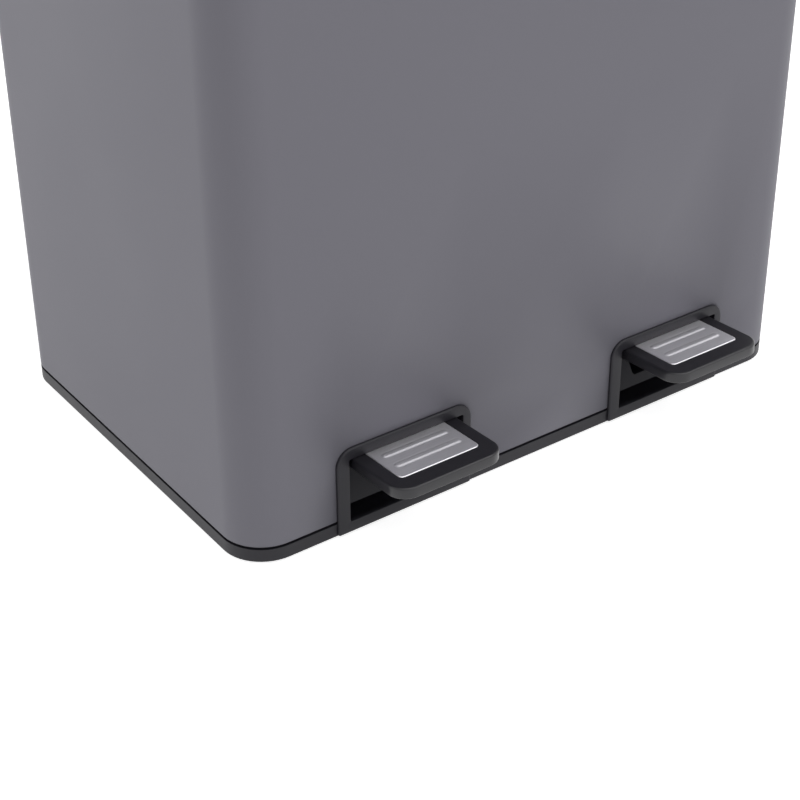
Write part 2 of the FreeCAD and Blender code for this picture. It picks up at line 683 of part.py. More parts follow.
def pedal_tread(label, side):
    """The plastic tread, hollow below, with a seat for its steel plate."""
    body = new_body(label)
    outline = sketch_on(body, "XY_Plane")
    half = d.tread_width / 2
    rounded(outline, [(-half, 0, d.tread_corner), (half, 0, d.tread_corner),
                      (half, d.tread_length, None), (-half, d.tread_length, None)])
    pad(body, outline, d.tread_thickness)
    bevel(body, d.tread_edge, at_height(d.tread_thickness))
    wall = d.tread_wall
    under = d.tread_thickness - wall - d.plate_sunk
    hollow = sketch_on(body, "XY_Plane")
    rounded(hollow, [(wall - half, wall, d.tread_corner - wall),
                     (half - wall, wall, d.tread_corner - wall),
                     (half - wall, d.tread_length - wall, None),
                     (wall - half, d.tread_length - wall, None)])
    pocket(body, hollow, under, reverse=True)
    ribs = sketch_on(body, "XY_Plane", d.tread_edge)
    near = d.arm_width / 2 + d.fit_gap
    for hand in (-1, 1):
        for inner in (near, near + 5 * wall):
            edges = sorted((hand * inner, hand * (inner + wall * 0.8)),
                           key=lambda item: item.value)
            rectangle(ribs, edges[0], wall / 2, edges[1], d.tread_length - wall / 2)
    pad(body, ribs, under - d.tread_edge + 0.5)
    gate = sketch_on(body, "XY_Plane")
    rectangle(gate, -near, d.tread_length - 2 * wall, near, d.tread_length + 1)
    pocket(body, gate, under, reverse=True)
    seat = sketch_on(body, "XY_Plane", d.tread_thickness)
    plate_outline(seat, d.fit_gap)
    pocket(body, seat, d.plate_sunk)
    return finish_tread(body, label, side)


def plate_outline(sketch, grow):
    half = d.plate_width / 2 + grow
    rectangle(sketch, -half, d.plate_margin - grow, half,
              d.plate_margin + d.plate_length + grow, d.plate_corner + grow)


def tread_plate(label, side):
    """The stainless steel plate with two pressed beads for grip."""
    body = new_body(label)
    outline = sketch_on(body, "XY_Plane", d.tread_thickness - d.plate_sunk)
    plate_outline(outline, size(0))
    pad(body, outline, d.plate_gauge)
    top = d.tread_thickness - d.plate_sunk + d.plate_gauge
    beads = sketch_on(body, "XY_Plane", top)
    half, round_end = d.bead_length / 2, d.bead_width * 0.48
    for start in (d.bead_start - d.bead_width / 2, d.bead_start - d.bead_width / 2 + d.bead_pitch):
        rectangle(beads, -half, start, half, start + d.bead_width, round_end)
    pad(body, beads, d.bead_rise)
    return finish_tread(body, label, side)


# ---------------------------------------------------------------- push rods

def push_rod(label, side):
    """A straight steel rod from its foot over the arm's tail to its saddle at the lid."""
    start = rod_foot_centre + 12 - d.rod_grip
    end = pin_rest_height - d.saddle_drop + d.rod_grip
    bar = rod(label, d.rod_radius, end - start)
    return finish(bar, label, side * pedal_x, rod_depth, start)


def rod_foot(label, side):
    """The plastic foot of a push rod, round below, where the arm's tail lifts it."""
    body = new_body(label)
    socket_block = sketch_on(body, "YZ_Plane")
    rectangle(socket_block, rod_depth - d.foot_round, rod_foot_centre,
              rod_depth + d.foot_round, rod_foot_centre + 12)
    pad(body, socket_block, d.arm_width / 2, symmetric=True)
    roll = sketch_on(body, "YZ_Plane")
    circle(roll, rod_depth, rod_foot_centre, d.foot_round)
    pad(body, roll, d.arm_width / 2, symmetric=True)
    socket = sketch_on(body, "XY_Plane", rod_foot_centre + 12)
    circle(socket, 0, rod_depth, d.rod_radius + d.running_gap)
    pocket(body, socket, d.rod_grip)
    return finish(body, label, side * pedal_x)


def rod_saddle(label, side):
    """The plastic saddle that pushes the crank's pin up and lets it slide level."""
    body = new_body(label)
    side_view = sketch_on(body, "YZ_Plane")
    half = d.saddle_length / 2
    low = pin_rest_height - d.saddle_drop
    rectangle(side_view, rod_depth - half, low, rod_depth + half, pin_rest_height + 0.5)
    pad(body, side_view, d.saddle_width, symmetric=True)
    slot = sketch_on(body, "YZ_Plane")
    base = pin_rest_height - d.crank_pin_radius - d.saddle_play
    rectangle(slot, rod_depth - saddle_slot, base, rod_depth + saddle_slot, pin_rest_height + 4)
    pocket(body, slot, d.saddle_width + 2, symmetric=True)
    socket = sketch_on(body, "XY_Plane", low)
    circle(socket, 0, rod_depth, d.rod_radius + d.running_gap)
    pocket(body, socket, d.rod_grip, reverse=True)
    return finish(body, label, side * pedal_x)


def rod_guide(label, side):
    """A bracket on the inside of the back that keeps the push rod upright."""
    body = new_body(label)
    wall = d.body_depth - d.sheet_gauge
    flange = sketch_on(body, "XZ_Plane", -wall)
    rectangle(flange, -20, d.guide_height - 8, 20, d.guide_height + 22)
    pad(body, flange, d.tray_wall)
    bridge = sketch_on(body, "XY_Plane", d.guide_height)
    reach = d.rod_radius + d.tray_wall + 1
    rectangle(bridge, -reach, rod_depth - reach, reach, wall - 1)
    pad(body, bridge, 14)
    bore = sketch_on(body, "XY_Plane", d.guide_height)
    circle(bore, 0, rod_depth, d.rod_radius + 2 * d.running_gap)
    pocket(body, bore, 14, reverse=True)
    return finish(body, label, side * pedal_x)


# ---------------------------------------------------------------- collar and hinges

def ear_places(side):
    """The near side of each hinge ear of one lid, measured along X."""
    middle = side * pedal_x
    edge = d.knuckle_width / 2 + 1
    return (middle - d.knuckle_spread + edge, middle + d.knuckle_spread - edge - d.ear_gauge)


def top_collar():
    """The plastic collar: band, skirt, two mouths, hinge deck, ears and rod guides."""
    body = new_body("top_collar")
    band = sketch_on(body, "XY_Plane", collar_bottom)
    plan_outline(band, size(0))
    pad(body, band, d.band_height)
    skirt = sketch_on(body, "XY_Plane", skirt_bottom)
    plan_outline(skirt, lap)
    pad(body, skirt, d.skirt_height)
    wall = d.collar_wall
    under = sketch_on(body, "XY_Plane", skirt_bottom)
    plan_outline(under, lap + wall)
    mouths = sketch_on(body, "XY_Plane", collar_top)
    channels = sketch_on(body, "XY_Plane", skirt_bottom)
    half = mouth_half
    for _, side in SIDES:
        left, right = side * pedal_x - half, side * pedal_x + half
        rectangle(mouths, left, d.mouth_front, right, mouth_back, d.mouth_corner)
        rectangle(under, left - wall, d.mouth_front - wall, right + wall, mouth_back + wall,
                  d.mouth_corner + wall)
    pocket(body, mouths, d.band_height + d.skirt_height)
    pocket(body, under, hinge_deck - wall - skirt_bottom, reverse=True)
    # the band is hollow between its outer wall and the mouths
    middle = pedal_x - half - wall
    outer = d.body_width / 2 - lap - wall
    rectangle(channels, -middle, d.mouth_front, middle, mouth_back - wall)
    rectangle(channels, -pedal_x - half, lap + wall, pedal_x + half, d.mouth_front - wall)
    rectangle(channels, pedal_x + half + wall, d.corner_radius + wall, outer, mouth_back - wall)
    rectangle(channels, -outer, d.corner_radius + wall, -pedal_x - half - wall,
              mouth_back - wall)
    pocket(body, channels, collar_top - wall - skirt_bottom, reverse=True)
    cavity = sketch_on(body, "XY_Plane", collar_top)
    reach = d.body_width / 2 - d.corner_radius / 2
    rectangle(cavity, -reach, cavity_front + wall, reach, d.body_depth - 2 * wall, 3)
    pocket(body, cavity, collar_top - hinge_deck)

    for _, side in SIDES:
        for near in ear_places(side):
            ear = sketch_on(body, "YZ_Plane", near)
            foot, top = hinge_deck - 1, axis_height + d.knuckle_radius
            polygon(ear, [(axis_depth - 9, foot), (axis_depth + 9, foot),
                          (axis_depth + 9, axis_height), (axis_depth + 4, top),
                          (axis_depth - 4, top), (axis_depth - 9, axis_height)])
            circle(ear, axis_depth, axis_height, d.pin_radius + d.running_gap)
            pad(body, ear, d.ear_gauge)
    holes = sketch_on(body, "XY_Plane", hinge_deck)
    for _, side in SIDES:
        circle(holes, side * pedal_x, rod_depth, d.rod_radius + 2 * d.running_gap)
    pocket(body, holes, wall)
    return finish(body, "top_collar")


def barrel_profile(name, radius, rise, back, inset):
    """A bar along the whole back: round in front about the hinge and flat on top."""
    body = new_body(name)
    block = sketch_on(body, "XY_Plane", collar_top + d.fit_gap * 0.5)
    half = d.body_width / 2 - inset
    corner = d.corner_radius - inset
    rounded(block, [(-half, axis_depth - radius, None), (half, axis_depth - radius, None),
                    (half, back, corner), (-half, back, corner)])
    pad(body, block, axis_height + rise - collar_top - d.fit_gap * 0.5)
    # the front is rounded by what lies outside the barrel's circle, above the hinge
    shoulder = sketch_on(body, "YZ_Plane")
    radius_, rise_ = radius.value, rise.value
    centre = FreeCAD.Vector(axis_depth.value, axis_height.value, 0)
    start = centre - FreeCAD.Vector(radius_, 0, 0)
    crown = centre + FreeCAD.Vector(-(radius_ ** 2 - rise_ ** 2) ** 0.5, rise_, 0)
    outer_corner = FreeCAD.Vector(start.x, crown.y, 0)
    curve = Part.Circle(centre, FreeCAD.Vector(0, 0, 1), radius_)
    angle = math.atan2(crown.y - centre.y, crown.x - centre.x)
    arc = shoulder.addGeometry(Part.ArcOfCircle(curve, angle, math.pi), False)
    up = shoulder.addGeometry(Part.LineSegment(start, outer_corner), False)
    across = shoulder.addGeometry(Part.LineSegment(outer_corner, crown), False)
    shoulder.addConstraint(Sketcher.Constraint("Coincident", arc, 2, up, 1))
    shoulder.addConstraint(Sketcher.Constraint("Coincident", up, 2, across, 1))
    shoulder.addConstraint(Sketcher.Constraint("Coincident", across, 2, arc, 1))
    shoulder.addConstraint(Sketcher.Constraint("Vertical", up))
    shoulder.addConstraint(Sketcher.Constraint("Horizontal", across))
    measure(shoulder, "DistanceX", arc, 3, axis_depth)
    measure(shoulder, "DistanceY", arc, 3, axis_height)
    measure(shoulder, "DistanceY", up, 1, axis_height)
    measure(shoulder, "DistanceY", across, 2, axis_height + rise)
    rule = shoulder.addConstraint(Sketcher.Constraint("Radius", arc, radius_))
    shoulder.setExpression(f"Constraints[{rule}]", radius.text)
    pocket(body, shoulder, d.body_width + 2, symmetric=True)
    return body


def hinge_cover():
    """The rounded plastic cover over both lids' hinges, slotted for knuckles and cranks."""
    wall = d.cover_wall
    outer = barrel_profile("cover_outside", d.barrel_radius, d.cover_rise, d.body_depth, size(0))
    inner = barrel_profile("cover_inside", d.barrel_radius - wall, d.cover_rise - wall,
                           d.body_depth - wall, wall)
    slots = []
    for _, side in SIDES:
        middle = side * pedal_x
        reach = d.knuckle_width / 2 + d.slot_play
        crank = middle + crank_start
        places = [(middle - d.knuckle_spread - reach, middle - d.knuckle_spread + reach),
                  (middle + d.knuckle_spread - reach, middle + d.knuckle_spread + reach),
                  (crank - d.slot_play, crank + d.crank_gauge + d.slot_play)]
        for low, high in places:
            slots.append(block("cover_slot", high - low, d.barrel_radius + d.slot_reach + 1,
                               cover_top + 1 - collar_top,
                               (low, axis_depth - d.barrel_radius - 1, collar_top)))
    hollow = joined("cover_hollow", "MultiFuse", [inner] + slots)
    return finish(joined("hinge_cover", "Cut", [outer, hollow]), "hinge_cover")


def hinge_pin(label, side):
    half = d.knuckle_spread + d.knuckle_width
    pin = rod(label, d.pin_radius, 2 * half, "x")
    return finish(pin, label, side * pedal_x - half, axis_depth, axis_height)


# ---------------------------------------------------------------- lids

def lid_corners(side, inset):
    """The plan of one lid as rounded corners, drawn in by the inset."""
    near, far = d.lid_gap / 2 + inset, d.body_width / 2 - inset
    big, small = d.corner_radius - inset, d.lid_corner - inset
    if side > 0:
        return [(near, inset, small), (far, inset, big),
                (far, lid_back - inset, small), (near, lid_back - inset, small)]
    return [(-far, inset, big), (-near, inset, small),
            (-near, lid_back - inset, small), (-far, lid_back - inset, small)]


def lid_form(name, side, inset, top, edge):
    """A solid lid with a bevelled upper edge."""
    body = new_body(name)
    outline = sketch_on(body, "XY_Plane", lid_bottom)
    rounded(outline, lid_corners(side, inset))
    pad(body, outline, top - lid_bottom)
    bevel(body, edge, at_height(top))
    return body


def lid_skin(label, side):
    """The drawn steel skin of a lid, notched at the back for the hinge knuckles."""
    top = lid_bottom + d.lid_height
    gauge = d.sheet_gauge
    outside = lid_form(label + "_outside", side, size(0), top, d.lid_edge)
    inside = lid_form(label + "_inside", side, gauge, top - gauge, d.lid_edge - gauge)
    middle = side * pedal_x
    reach = d.knuckle_width / 2 + d.slot_play
    crank = middle + crank_start
    notches = [(middle - d.knuckle_spread - reach, middle - d.knuckle_spread + reach),
               (middle + d.knuckle_spread - reach, middle + d.knuckle_spread + reach),
               (crank - d.slot_play, crank + d.crank_gauge + d.slot_play)]
    blocks = [block("notch", high - low, 4, axis_height + d.knuckle_radius - lid_bottom + 1,
                    (low, lid_back - 3, lid_bottom - 1))
              for low, high in notches]
    tool = joined(label + "_hollow", "MultiFuse", [inside] + blocks)
    return finish(joined(label, "Cut", [outside, tool]), label)


def lid_frame(label, side):
    """The plastic liner in a lid, with its two hinge knuckles and the crank's rib."""
    body = new_body(label)
    snug = d.sheet_gauge + d.fit_gap
    wall = d.liner_wall
    outline = sketch_on(body, "XY_Plane", liner_bottom)
    rounded(outline, lid_corners(side, snug))
    pad(body, outline, d.liner_height)
    hollow = sketch_on(body, "XY_Plane", liner_floor)
    rounded(hollow, lid_corners(side, snug + wall))
    pocket(body, hollow, d.liner_height, reverse=True)
    middle = side * pedal_x
    back = lid_back - snug
    crank = middle + crank_start
    beside = crank + d.crank_gauge + d.fit_gap / 2
    rib = sketch_on(body, "XY_Plane", liner_floor - 1)
    rectangle(rib, beside, back - d.crank_tail - 2 * wall, beside + wall, back - wall / 2)
    pad(body, rib, d.liner_height - wall)
    for place in (middle - d.knuckle_spread, middle + d.knuckle_spread):
        arm = sketch_on(body, "YZ_Plane", place)
        polygon(arm, [(back - 26, liner_floor - 1), (back - wall, liner_bottom),
                      (axis_depth, axis_height - d.knuckle_radius * 0.8),
                      (axis_depth, axis_height + d.knuckle_radius * 0.7),
                      (back - wall, axis_height + d.knuckle_radius * 0.4),
                      (back - 26, liner_floor + 1)])
        pad(body, arm, d.knuckle_width, symmetric=True)
        knuckle = sketch_on(body, "YZ_Plane", place)
        circle(knuckle, axis_depth, axis_height, d.knuckle_radius)
        pad(body, knuckle, d.knuckle_width, symmetric=True)
        bore = sketch_on(body, "YZ_Plane", place)
        circle(bore, axis_depth, axis_height, d.pin_radius + d.running_gap)
        pocket(body, bore, d.knuckle_width + 2, symmetric=True)
    gate = sketch_on(body, "XY_Plane", liner_floor)
    rectangle(gate, crank - d.fit_gap, back - wall - 1, crank + d.crank_gauge + d.fit_gap / 2,
              back + 1)
    pocket(body, gate, d.liner_height, reverse=True)
    return finish(body, label)


def lid_bumpers(label, side):
    """Two rubber pads under the front of a lid."""
    pads = []
    for x in (side * (pedal_x - 0.84 * mouth_half - 14), side * (pedal_x + 0.84 * mouth_half)):
        pads.append(block("pad", 12, 6, liner_bottom - collar_top - d.fit_gap,
                          (x - 6, d.mouth_front / 2 - 3, collar_top + d.fit_gap)))
    return finish(joined(label, "Compound", pads), label)


def lid_crank(label, side):
    """A steel plate on the hinge pin that the push rod turns, with its pin on the saddle."""
    body = new_body(label)
    start = crank_start
    arm = sketch_on(body, "YZ_Plane", start)
    low = liner_floor + d.fit_gap
    polygon(arm, [(lid_back - d.crank_tail, low), (lid_back, low),
                  (axis_depth, axis_height - 5), (axis_depth, axis_height + 4),
                  (lid_back - d.crank_tail, low + d.crank_web)])
    pad(body, arm, d.crank_gauge)
    half = d.crank_pin_radius + 2
    across_y = half * sine(d.crank_half_turn)
    across_z = half * cosine(d.crank_half_turn)
    lever = sketch_on(body, "YZ_Plane", start)
    polygon(lever, [(axis_depth - across_y, axis_height + across_z),
                    (pin_rest_depth - across_y, pin_rest_height + across_z),
                    (pin_rest_depth + across_y, pin_rest_height - across_z),
                    (axis_depth + across_y, axis_height - across_z)])
    pad(body, lever, d.crank_gauge)
    for y, z, radius in ((axis_depth, axis_height, d.knuckle_radius),
                         (pin_rest_depth, pin_rest_height, half)):
        boss = sketch_on(body, "YZ_Plane", start)
        circle(boss, y, z, radius)
        pad(body, boss, d.crank_gauge)
    bore = sketch_on(body, "YZ_Plane", start)
    circle(bore, axis_depth, axis_height, d.pin_radius + d.running_gap)
    pocket(body, bore, d.crank_gauge, reverse=True)
    pin = sketch_on(body, "YZ_Plane", start)
    circle(pin, pin_rest_depth, pin_rest_height, d.crank_pin_radius)
    pad(body, pin, d.saddle_width + 3, reverse=True)
    return finish(body, label, side * pedal_x)


# ---------------------------------------------------------------- buckets

def bucket_outline(sketch, grow):
    """The bucket's plan at its rim, drawn out by an offset."""
    half = bucket_half + grow
    rectangle(sketch, -half, bucket_front - grow, half, bucket_back + grow,
              d.bucket_corner + grow)


def bucket(label, side):
    """The moulded bucket: walls with draft, turned rim and two ears for the handle."""
    body = new_body(label)
    wall = d.bucket_wall
    lean = bucket_height * tangent(d.bucket_draft)
    for kind, floor, grow in (("AdditiveLoft", bucket_floor, size(0)),
                              ("SubtractiveLoft", bucket_floor + wall, -wall)):
        low = sketch_on(body, "XY_Plane", floor)
        bucket_outline(low, grow - lean)
        high = sketch_on(body, "XY_Plane", bucket_rim)
        bucket_outline(high, grow)
        loft = body.newObject("PartDesign::" + kind, f"{label}_{kind.lower()}")
        loft.Profile = low
        loft.Sections = [high]
        doc.recompute()
    rim = sketch_on(body, "XY_Plane", bucket_rim - wall)
    bucket_outline(rim, d.rim_width)
    bucket_outline(rim, -wall / 2)
    pad(body, rim, wall)
    turn = sketch_on(body, "XY_Plane", bucket_rim - d.rim_height)
    bucket_outline(turn, d.rim_width)
    bucket_outline(turn, d.rim_width - wall * 0.8)
    pad(body, turn, d.rim_height)
    near = bail_arm_x - d.bail_radius - d.fit_gap - d.bail_ear_gauge
    half, top = d.bail_ear_width / 2, bail_height + 2.5 * d.bail_radius
    for hand in (-1, 1):
        ear = sketch_on(body, "YZ_Plane", near if hand > 0 else -near - d.bail_ear_gauge)
        polygon(ear, [(bail_pivot - half, bucket_rim - d.rim_height),
                      (bail_pivot + half, bucket_rim - d.rim_height),
                      (bail_pivot + half, bucket_rim), (bail_pivot + half / 2, top),
                      (bail_pivot - half / 2, top), (bail_pivot - half, bucket_rim)])
        pad(body, ear, d.bail_ear_gauge)
    pivots = sketch_on(body, "YZ_Plane")
    circle(pivots, bail_pivot, bail_height, d.bail_radius + d.running_gap)
    pocket(body, pivots, 2 * bucket_half + d.rim_width, symmetric=True)
    return finish(body, label, side * pedal_x)


def bail(label, side):
    """The bent wire handle, which lies forward on the bucket's rim."""
    body = new_body(label)
    arm_x, pivot = bail_arm_x, bail_pivot
    end_x = arm_x - 4 * d.bail_radius
    bend = d.bail_bend
    route = sketch_on(body, "XY_Plane", bail_height)
    polygon(route, [(-end_x, pivot), (-arm_x, pivot), (-arm_x, bail_front + bend),
                    (bend - arm_x, bail_front), (arm_x - bend, bail_front),
                    (arm_x, bail_front + bend), (arm_x, pivot), (end_x, pivot)], closed=False)
    wire = sketch_on(body, "YZ_Plane", -end_x)
    circle(wire, pivot, bail_height, d.bail_radius)
    pipe = body.newObject("PartDesign::AdditivePipe", label + "_pipe")
    pipe.Profile = wire
    pipe.Spine = (route, [f"Edge{i + 1}" for i in range(route.GeometryCount)])
    pipe.Transition = "Right corner"
    doc.recompute()
    return finish(body, label, side * pedal_x)


def bail_grip(label, side):
    """The plastic grip on the handle's front run."""
    half = d.grip_length / 2
    start = (-half, bail_front, bail_height)
    tube = joined(label, "Cut", [
        rod("grip_outside", d.grip_radius, d.grip_length, "x", start),
        rod("grip_bore", d.bail_radius + d.running_gap, d.grip_length, "x", start)])
    return finish(tube, label, side * pedal_x)


# ---------------------------------------------------------------- assembly and export

outer_shell()
base_tray()
base_feet()
top_collar()
hinge_cover()
PIECES = (pedal_bezel, pedal_axle, pedal_bumper, pedal_arm, pedal_tread, tread_plate,
          push_rod, rod_foot, rod_saddle, rod_guide, hinge_pin, lid_skin, lid_frame, lid_bumpers,
          lid_crank, bucket, bail, bail_grip)
for hand_name, hand in SIDES:
    for make in PIECES:
        make(f"{hand_name}_{make.__name__}", hand)
doc.recompute()

for item in doc.Objects:
    if "Invalid" in item.State or "Error" in item.State:
        raise RuntimeError(f"{item.Label} failed: {item.State}")
for item in nodes:
    if item.Shape.isNull() or not item.Shape.isValid():
        raise RuntimeError(f"{item.Label} has no valid shape")
for item in nodes:
    item.Shape.exportStep(f"parts/{item.Label}.step")
print(len(nodes), "sub-parts written")
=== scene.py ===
import json
import math
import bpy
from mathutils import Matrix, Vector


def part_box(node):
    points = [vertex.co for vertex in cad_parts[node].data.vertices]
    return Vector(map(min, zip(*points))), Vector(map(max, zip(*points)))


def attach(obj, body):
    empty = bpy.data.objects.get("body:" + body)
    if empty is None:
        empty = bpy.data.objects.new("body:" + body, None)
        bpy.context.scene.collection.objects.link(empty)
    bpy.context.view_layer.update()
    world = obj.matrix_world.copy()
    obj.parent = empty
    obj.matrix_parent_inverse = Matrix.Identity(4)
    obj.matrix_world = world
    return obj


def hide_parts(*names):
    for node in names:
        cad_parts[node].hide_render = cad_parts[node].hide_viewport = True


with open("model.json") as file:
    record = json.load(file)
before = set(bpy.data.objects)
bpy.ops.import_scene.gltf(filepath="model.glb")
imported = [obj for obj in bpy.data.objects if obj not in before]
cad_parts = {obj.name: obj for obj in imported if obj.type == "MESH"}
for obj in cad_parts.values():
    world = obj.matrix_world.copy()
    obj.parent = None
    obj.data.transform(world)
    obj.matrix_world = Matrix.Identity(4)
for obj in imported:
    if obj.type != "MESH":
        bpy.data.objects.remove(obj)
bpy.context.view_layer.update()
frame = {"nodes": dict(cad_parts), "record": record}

from types import SimpleNamespace as Measures

import bmesh
import bpy
import numpy as np
from bpy.props import FloatProperty, FloatVectorProperty, PointerProperty

bl_info = {
    "name": "Double pedal bin",
    "version": (1, 0, 0),
    "blender": (4, 5, 0),
    "location": "View3D > Sidebar > Pedal bin",
    "description": "Dresses a two-lid pedal bin with smooth surfaces, finishes and a stage",
    "category": "Object",
}

SIDES = (("left", -1), ("right", 1))


# ------------------------------------------------------------------ sizes and colours

class BinSizes(bpy.types.PropertyGroup):
    """Sizes that the dressed pieces add to those of the frame."""

    body_corner: FloatProperty(name="Body corner", unit="LENGTH", default=0.032,
                               description="Radius of the body's upright corners")
    sheet: FloatProperty(name="Sheet", unit="LENGTH", default=0.0008,
                         description="Thickness of the painted steel sheet")
    hem: FloatProperty(name="Hem", unit="LENGTH", default=0.007,
                       description="Height of the sheet's folded hems")
    surround_corner: FloatProperty(name="Surround corner", unit="LENGTH", default=0.013,
                                   description="Radius of a pedal surround's upper corners")
    surround_edge: FloatProperty(name="Surround edge", unit="LENGTH", default=0.0015,
                                 description="Rounding of a pedal surround's front edge")
    tread_corner: FloatProperty(name="Tread corner", unit="LENGTH", default=0.014,
                                description="Radius of a tread's front corners")
    tread_edge: FloatProperty(name="Tread edge", unit="LENGTH", default=0.0017,
                              description="Rounding of a tread's upper edge")
    tread_tilt: FloatProperty(name="Tread tilt", unit="ROTATION", default=math.radians(2.94),
                              description="Slope of a tread at rest")
    lid_edge: FloatProperty(name="Lid edge", unit="LENGTH", default=0.003,
                            description="Rounding of a lid's upper edge")
    handle_wire: FloatProperty(name="Handle wire", unit="LENGTH", default=0.002,
                               description="Radius of a bucket's wire handle")
    screw_head: FloatProperty(name="Screw head", unit="LENGTH", default=0.003,
                              description="Radius of the small screws' heads")


class BinColours(bpy.types.PropertyGroup):
    """Colours of the bin's finishes."""

    paint: FloatVectorProperty(name="Paint", subtype="COLOR", size=3, default=(0.180, 0.176, 0.204),
                               description="Grey metallic paint of the body and the lids")
    plastic: FloatVectorProperty(name="Plastic", subtype="COLOR", size=3,
                                 default=(0.0150, 0.0142, 0.0190),
                                 description="Dark plastic of the base, surrounds and collar")
    tread: FloatVectorProperty(name="Tread", subtype="COLOR", size=3,
                               default=(0.0120, 0.0114, 0.0150),
                               description="Dark plastic of the pedal treads")
    steel: FloatVectorProperty(name="Steel", subtype="COLOR", size=3, default=(0.86, 0.85, 0.88),
                               description="Brushed stainless steel of the tread plates")
    zinc: FloatVectorProperty(name="Zinc", subtype="COLOR", size=3, default=(0.46, 0.47, 0.49),
                              description="Zinc-plated steel of rods, pins and arms")
    bucket: FloatVectorProperty(name="Bucket", subtype="COLOR", size=3,
                                default=(0.115, 0.115, 0.125),
                                description="Grey plastic of the buckets")
    natural: FloatVectorProperty(name="Bearing plastic", subtype="COLOR", size=3,
                                 default=(0.62, 0.60, 0.55),
                                 description="Uncoloured plastic of guides, feet and saddles")
    rubber: FloatVectorProperty(name="Rubber", subtype="COLOR", size=3,
                                default=(0.018, 0.018, 0.019),
                                description="Rubber of the feet and bumpers")


class BinStage(bpy.types.PropertyGroup):
    """The camera's place and the strength of the lights."""

    camera: FloatVectorProperty(name="Camera", subtype="XYZ", size=3, unit="LENGTH",
                                default=(-0.6943, -0.9357, 0.6933),
                                description="Place of the camera")
    yaw: FloatProperty(name="Yaw", unit="ROTATION", default=math.radians(36.523),
                       description="Turn of the camera to the right of the back")
    pitch: FloatProperty(name="Pitch", unit="ROTATION", default=math.radians(28.40),
                         description="How far the camera looks down")
    lens: FloatProperty(name="Lens", default=76.5, description="Focal length in millimetres")
    front_light: FloatProperty(name="Front light", default=9.0, unit="POWER",
                               description="Power of the wide light in front")
    side_light: FloatProperty(name="Side light", default=23.0, unit="POWER",
                              description="Power of the wide light behind the left side")
    key_light: FloatProperty(name="Key light", default=13.0, unit="POWER",
                             description="Power of the light at the right, which draws the edges")
    top_light: FloatProperty(name="Top light", default=18.0, unit="POWER",
                             description="Power of the wide light overhead")
    sky: FloatProperty(name="Sky", default=0.46,
                       description="Strength of the even light from all sides")


# ------------------------------------------------------------------ fixed measures, in metres

BODY = Measures(
    arc=20,                                  # steps round a corner
    lap=0.005,                               # how far a surround covers the sheet's cut edge
    middle=0.25, upper=0.02,                 # rows that shorten the faces, from foot and top
    seam=(0.0064, 0.0060, 0.0058, 0.0052, 0.0050),  # columns of the seam, from the middle
    seam_depth=0.00035)
WELL = Measures(
    steps=(8, 6),                            # round a corner and along a straight run
    sill=0.009, height=0.050, half=0.048,    # the opening: its foot, height and half width
    shift=0.0012,                            # of the opening from the surround's middle
    corner=0.0012, soft=0.0006, wall=0.002,
    foot_corner=0.0016,                      # radius of the surround's lower corners
    depth=0.010, slope=0.032,                # of the back behind the sheet, and what it gains
    floor_edge=0.0007, floor_depth=0.0004,   # the floor ends just behind the sheet
    gap=0.0032,                              # under the sloping back
    slot_half=0.016, slot_foot=0.0095, slot_head=0.002, slot_corner=0.002, back_corner=0.0006)
TREAD = Measures(
    steps=(12, 4), half=0.0443, length=0.070, thick=0.008, wall=0.0025,
    height=0.0555,                           # of the front edge's underside at rest
    back_corner=0.0008, soft=0.0006, chamfer=0.0012, nick=0.0002,
    screws=(0.022, 0.048), screw_seat=0.0027)
PLATE = Measures(
    half=0.0332, length=0.046, corner=0.004, gauge=0.0008,
    margin=0.015, play=0.0003, sunk=0.0005,  # its place in the tread
    columns=167, rows=117, roll=0.0007, roll_share=0.9,
    beads=(0.0146, 0.0296), bead_half=0.0245, bead_reach=0.0031, bead_slope=0.0021,
    bead_height=0.0006, moat_line=0.0035, moat_half=0.0008, moat_depth=0.00012)
LID = Measures(
    arc=16, corner=0.010,                    # radius of all corners but the body's own
    knuckle=0.070, knuckle_half=0.005,       # slots of the hinge, from the pedal's middle
    crank=(0.012, 0.007), over_liner=0.001, top_step=0.001)
PAIL = Measures(
    half=0.108, height=0.496, corner=0.028, draft=math.radians(1.0), wall=0.002, foot=0.006,
    rim=0.004, lip=0.009, lip_wall=0.0016, soft=0.0008, step=0.001,
    rim_round=0.0015, mouth_round=0.0012,
    outside=(0.05, 0.012), inside=(0.03, 0.02), rows=5)  # ends of the walls' rows
EAR = Measures(
    sides=40, half=0.0120, head=0.0072, foot=0.0100, foot_share=0.9, taper=0.45,
    hole=0.00205, over_rim=0.0023, reach=0.1037, gauge=0.0030, soft=0.0004, soft_share=0.96)
HANDLE = Measures(sides=16, end_turns=4, bends=(0.0035, 0.014, 0.014, 0.0035))
GRIP = Measures(sides=28, steps=121, ridges=7, ridge=0.0007, end_drop=0.0012,
                end_reach=0.0015, play=0.00005)
GUIDE = Measures(screws=(-0.014, 0.014), flange=0.003)
LAMPS = (  # name, place, target and extent
    ("front_light", (0.2, -3.0, 0.9), (0, 0, 0.2), (2.6, 1.6)),
    ("side_light", (-2.2, 1.9, 1.3), (0, 0, 0.3), (2.0, 2.0)),
    ("top_light", (-0.1, -0.9, 2.6), (0, -0.2, 0), (2.0, 2.0)),
    ("key_light", (1.5, -1.5, 2.1), (0, -0.1, 0.1), (1.3, 1.3)))
FLOOR_HALF = 6.0
FLOOR_TONE = (0.80, 0.80, 0.80, 1)
WHITE = (1, 1, 1, 1)


# ------------------------------------------------------------------ shader helpers

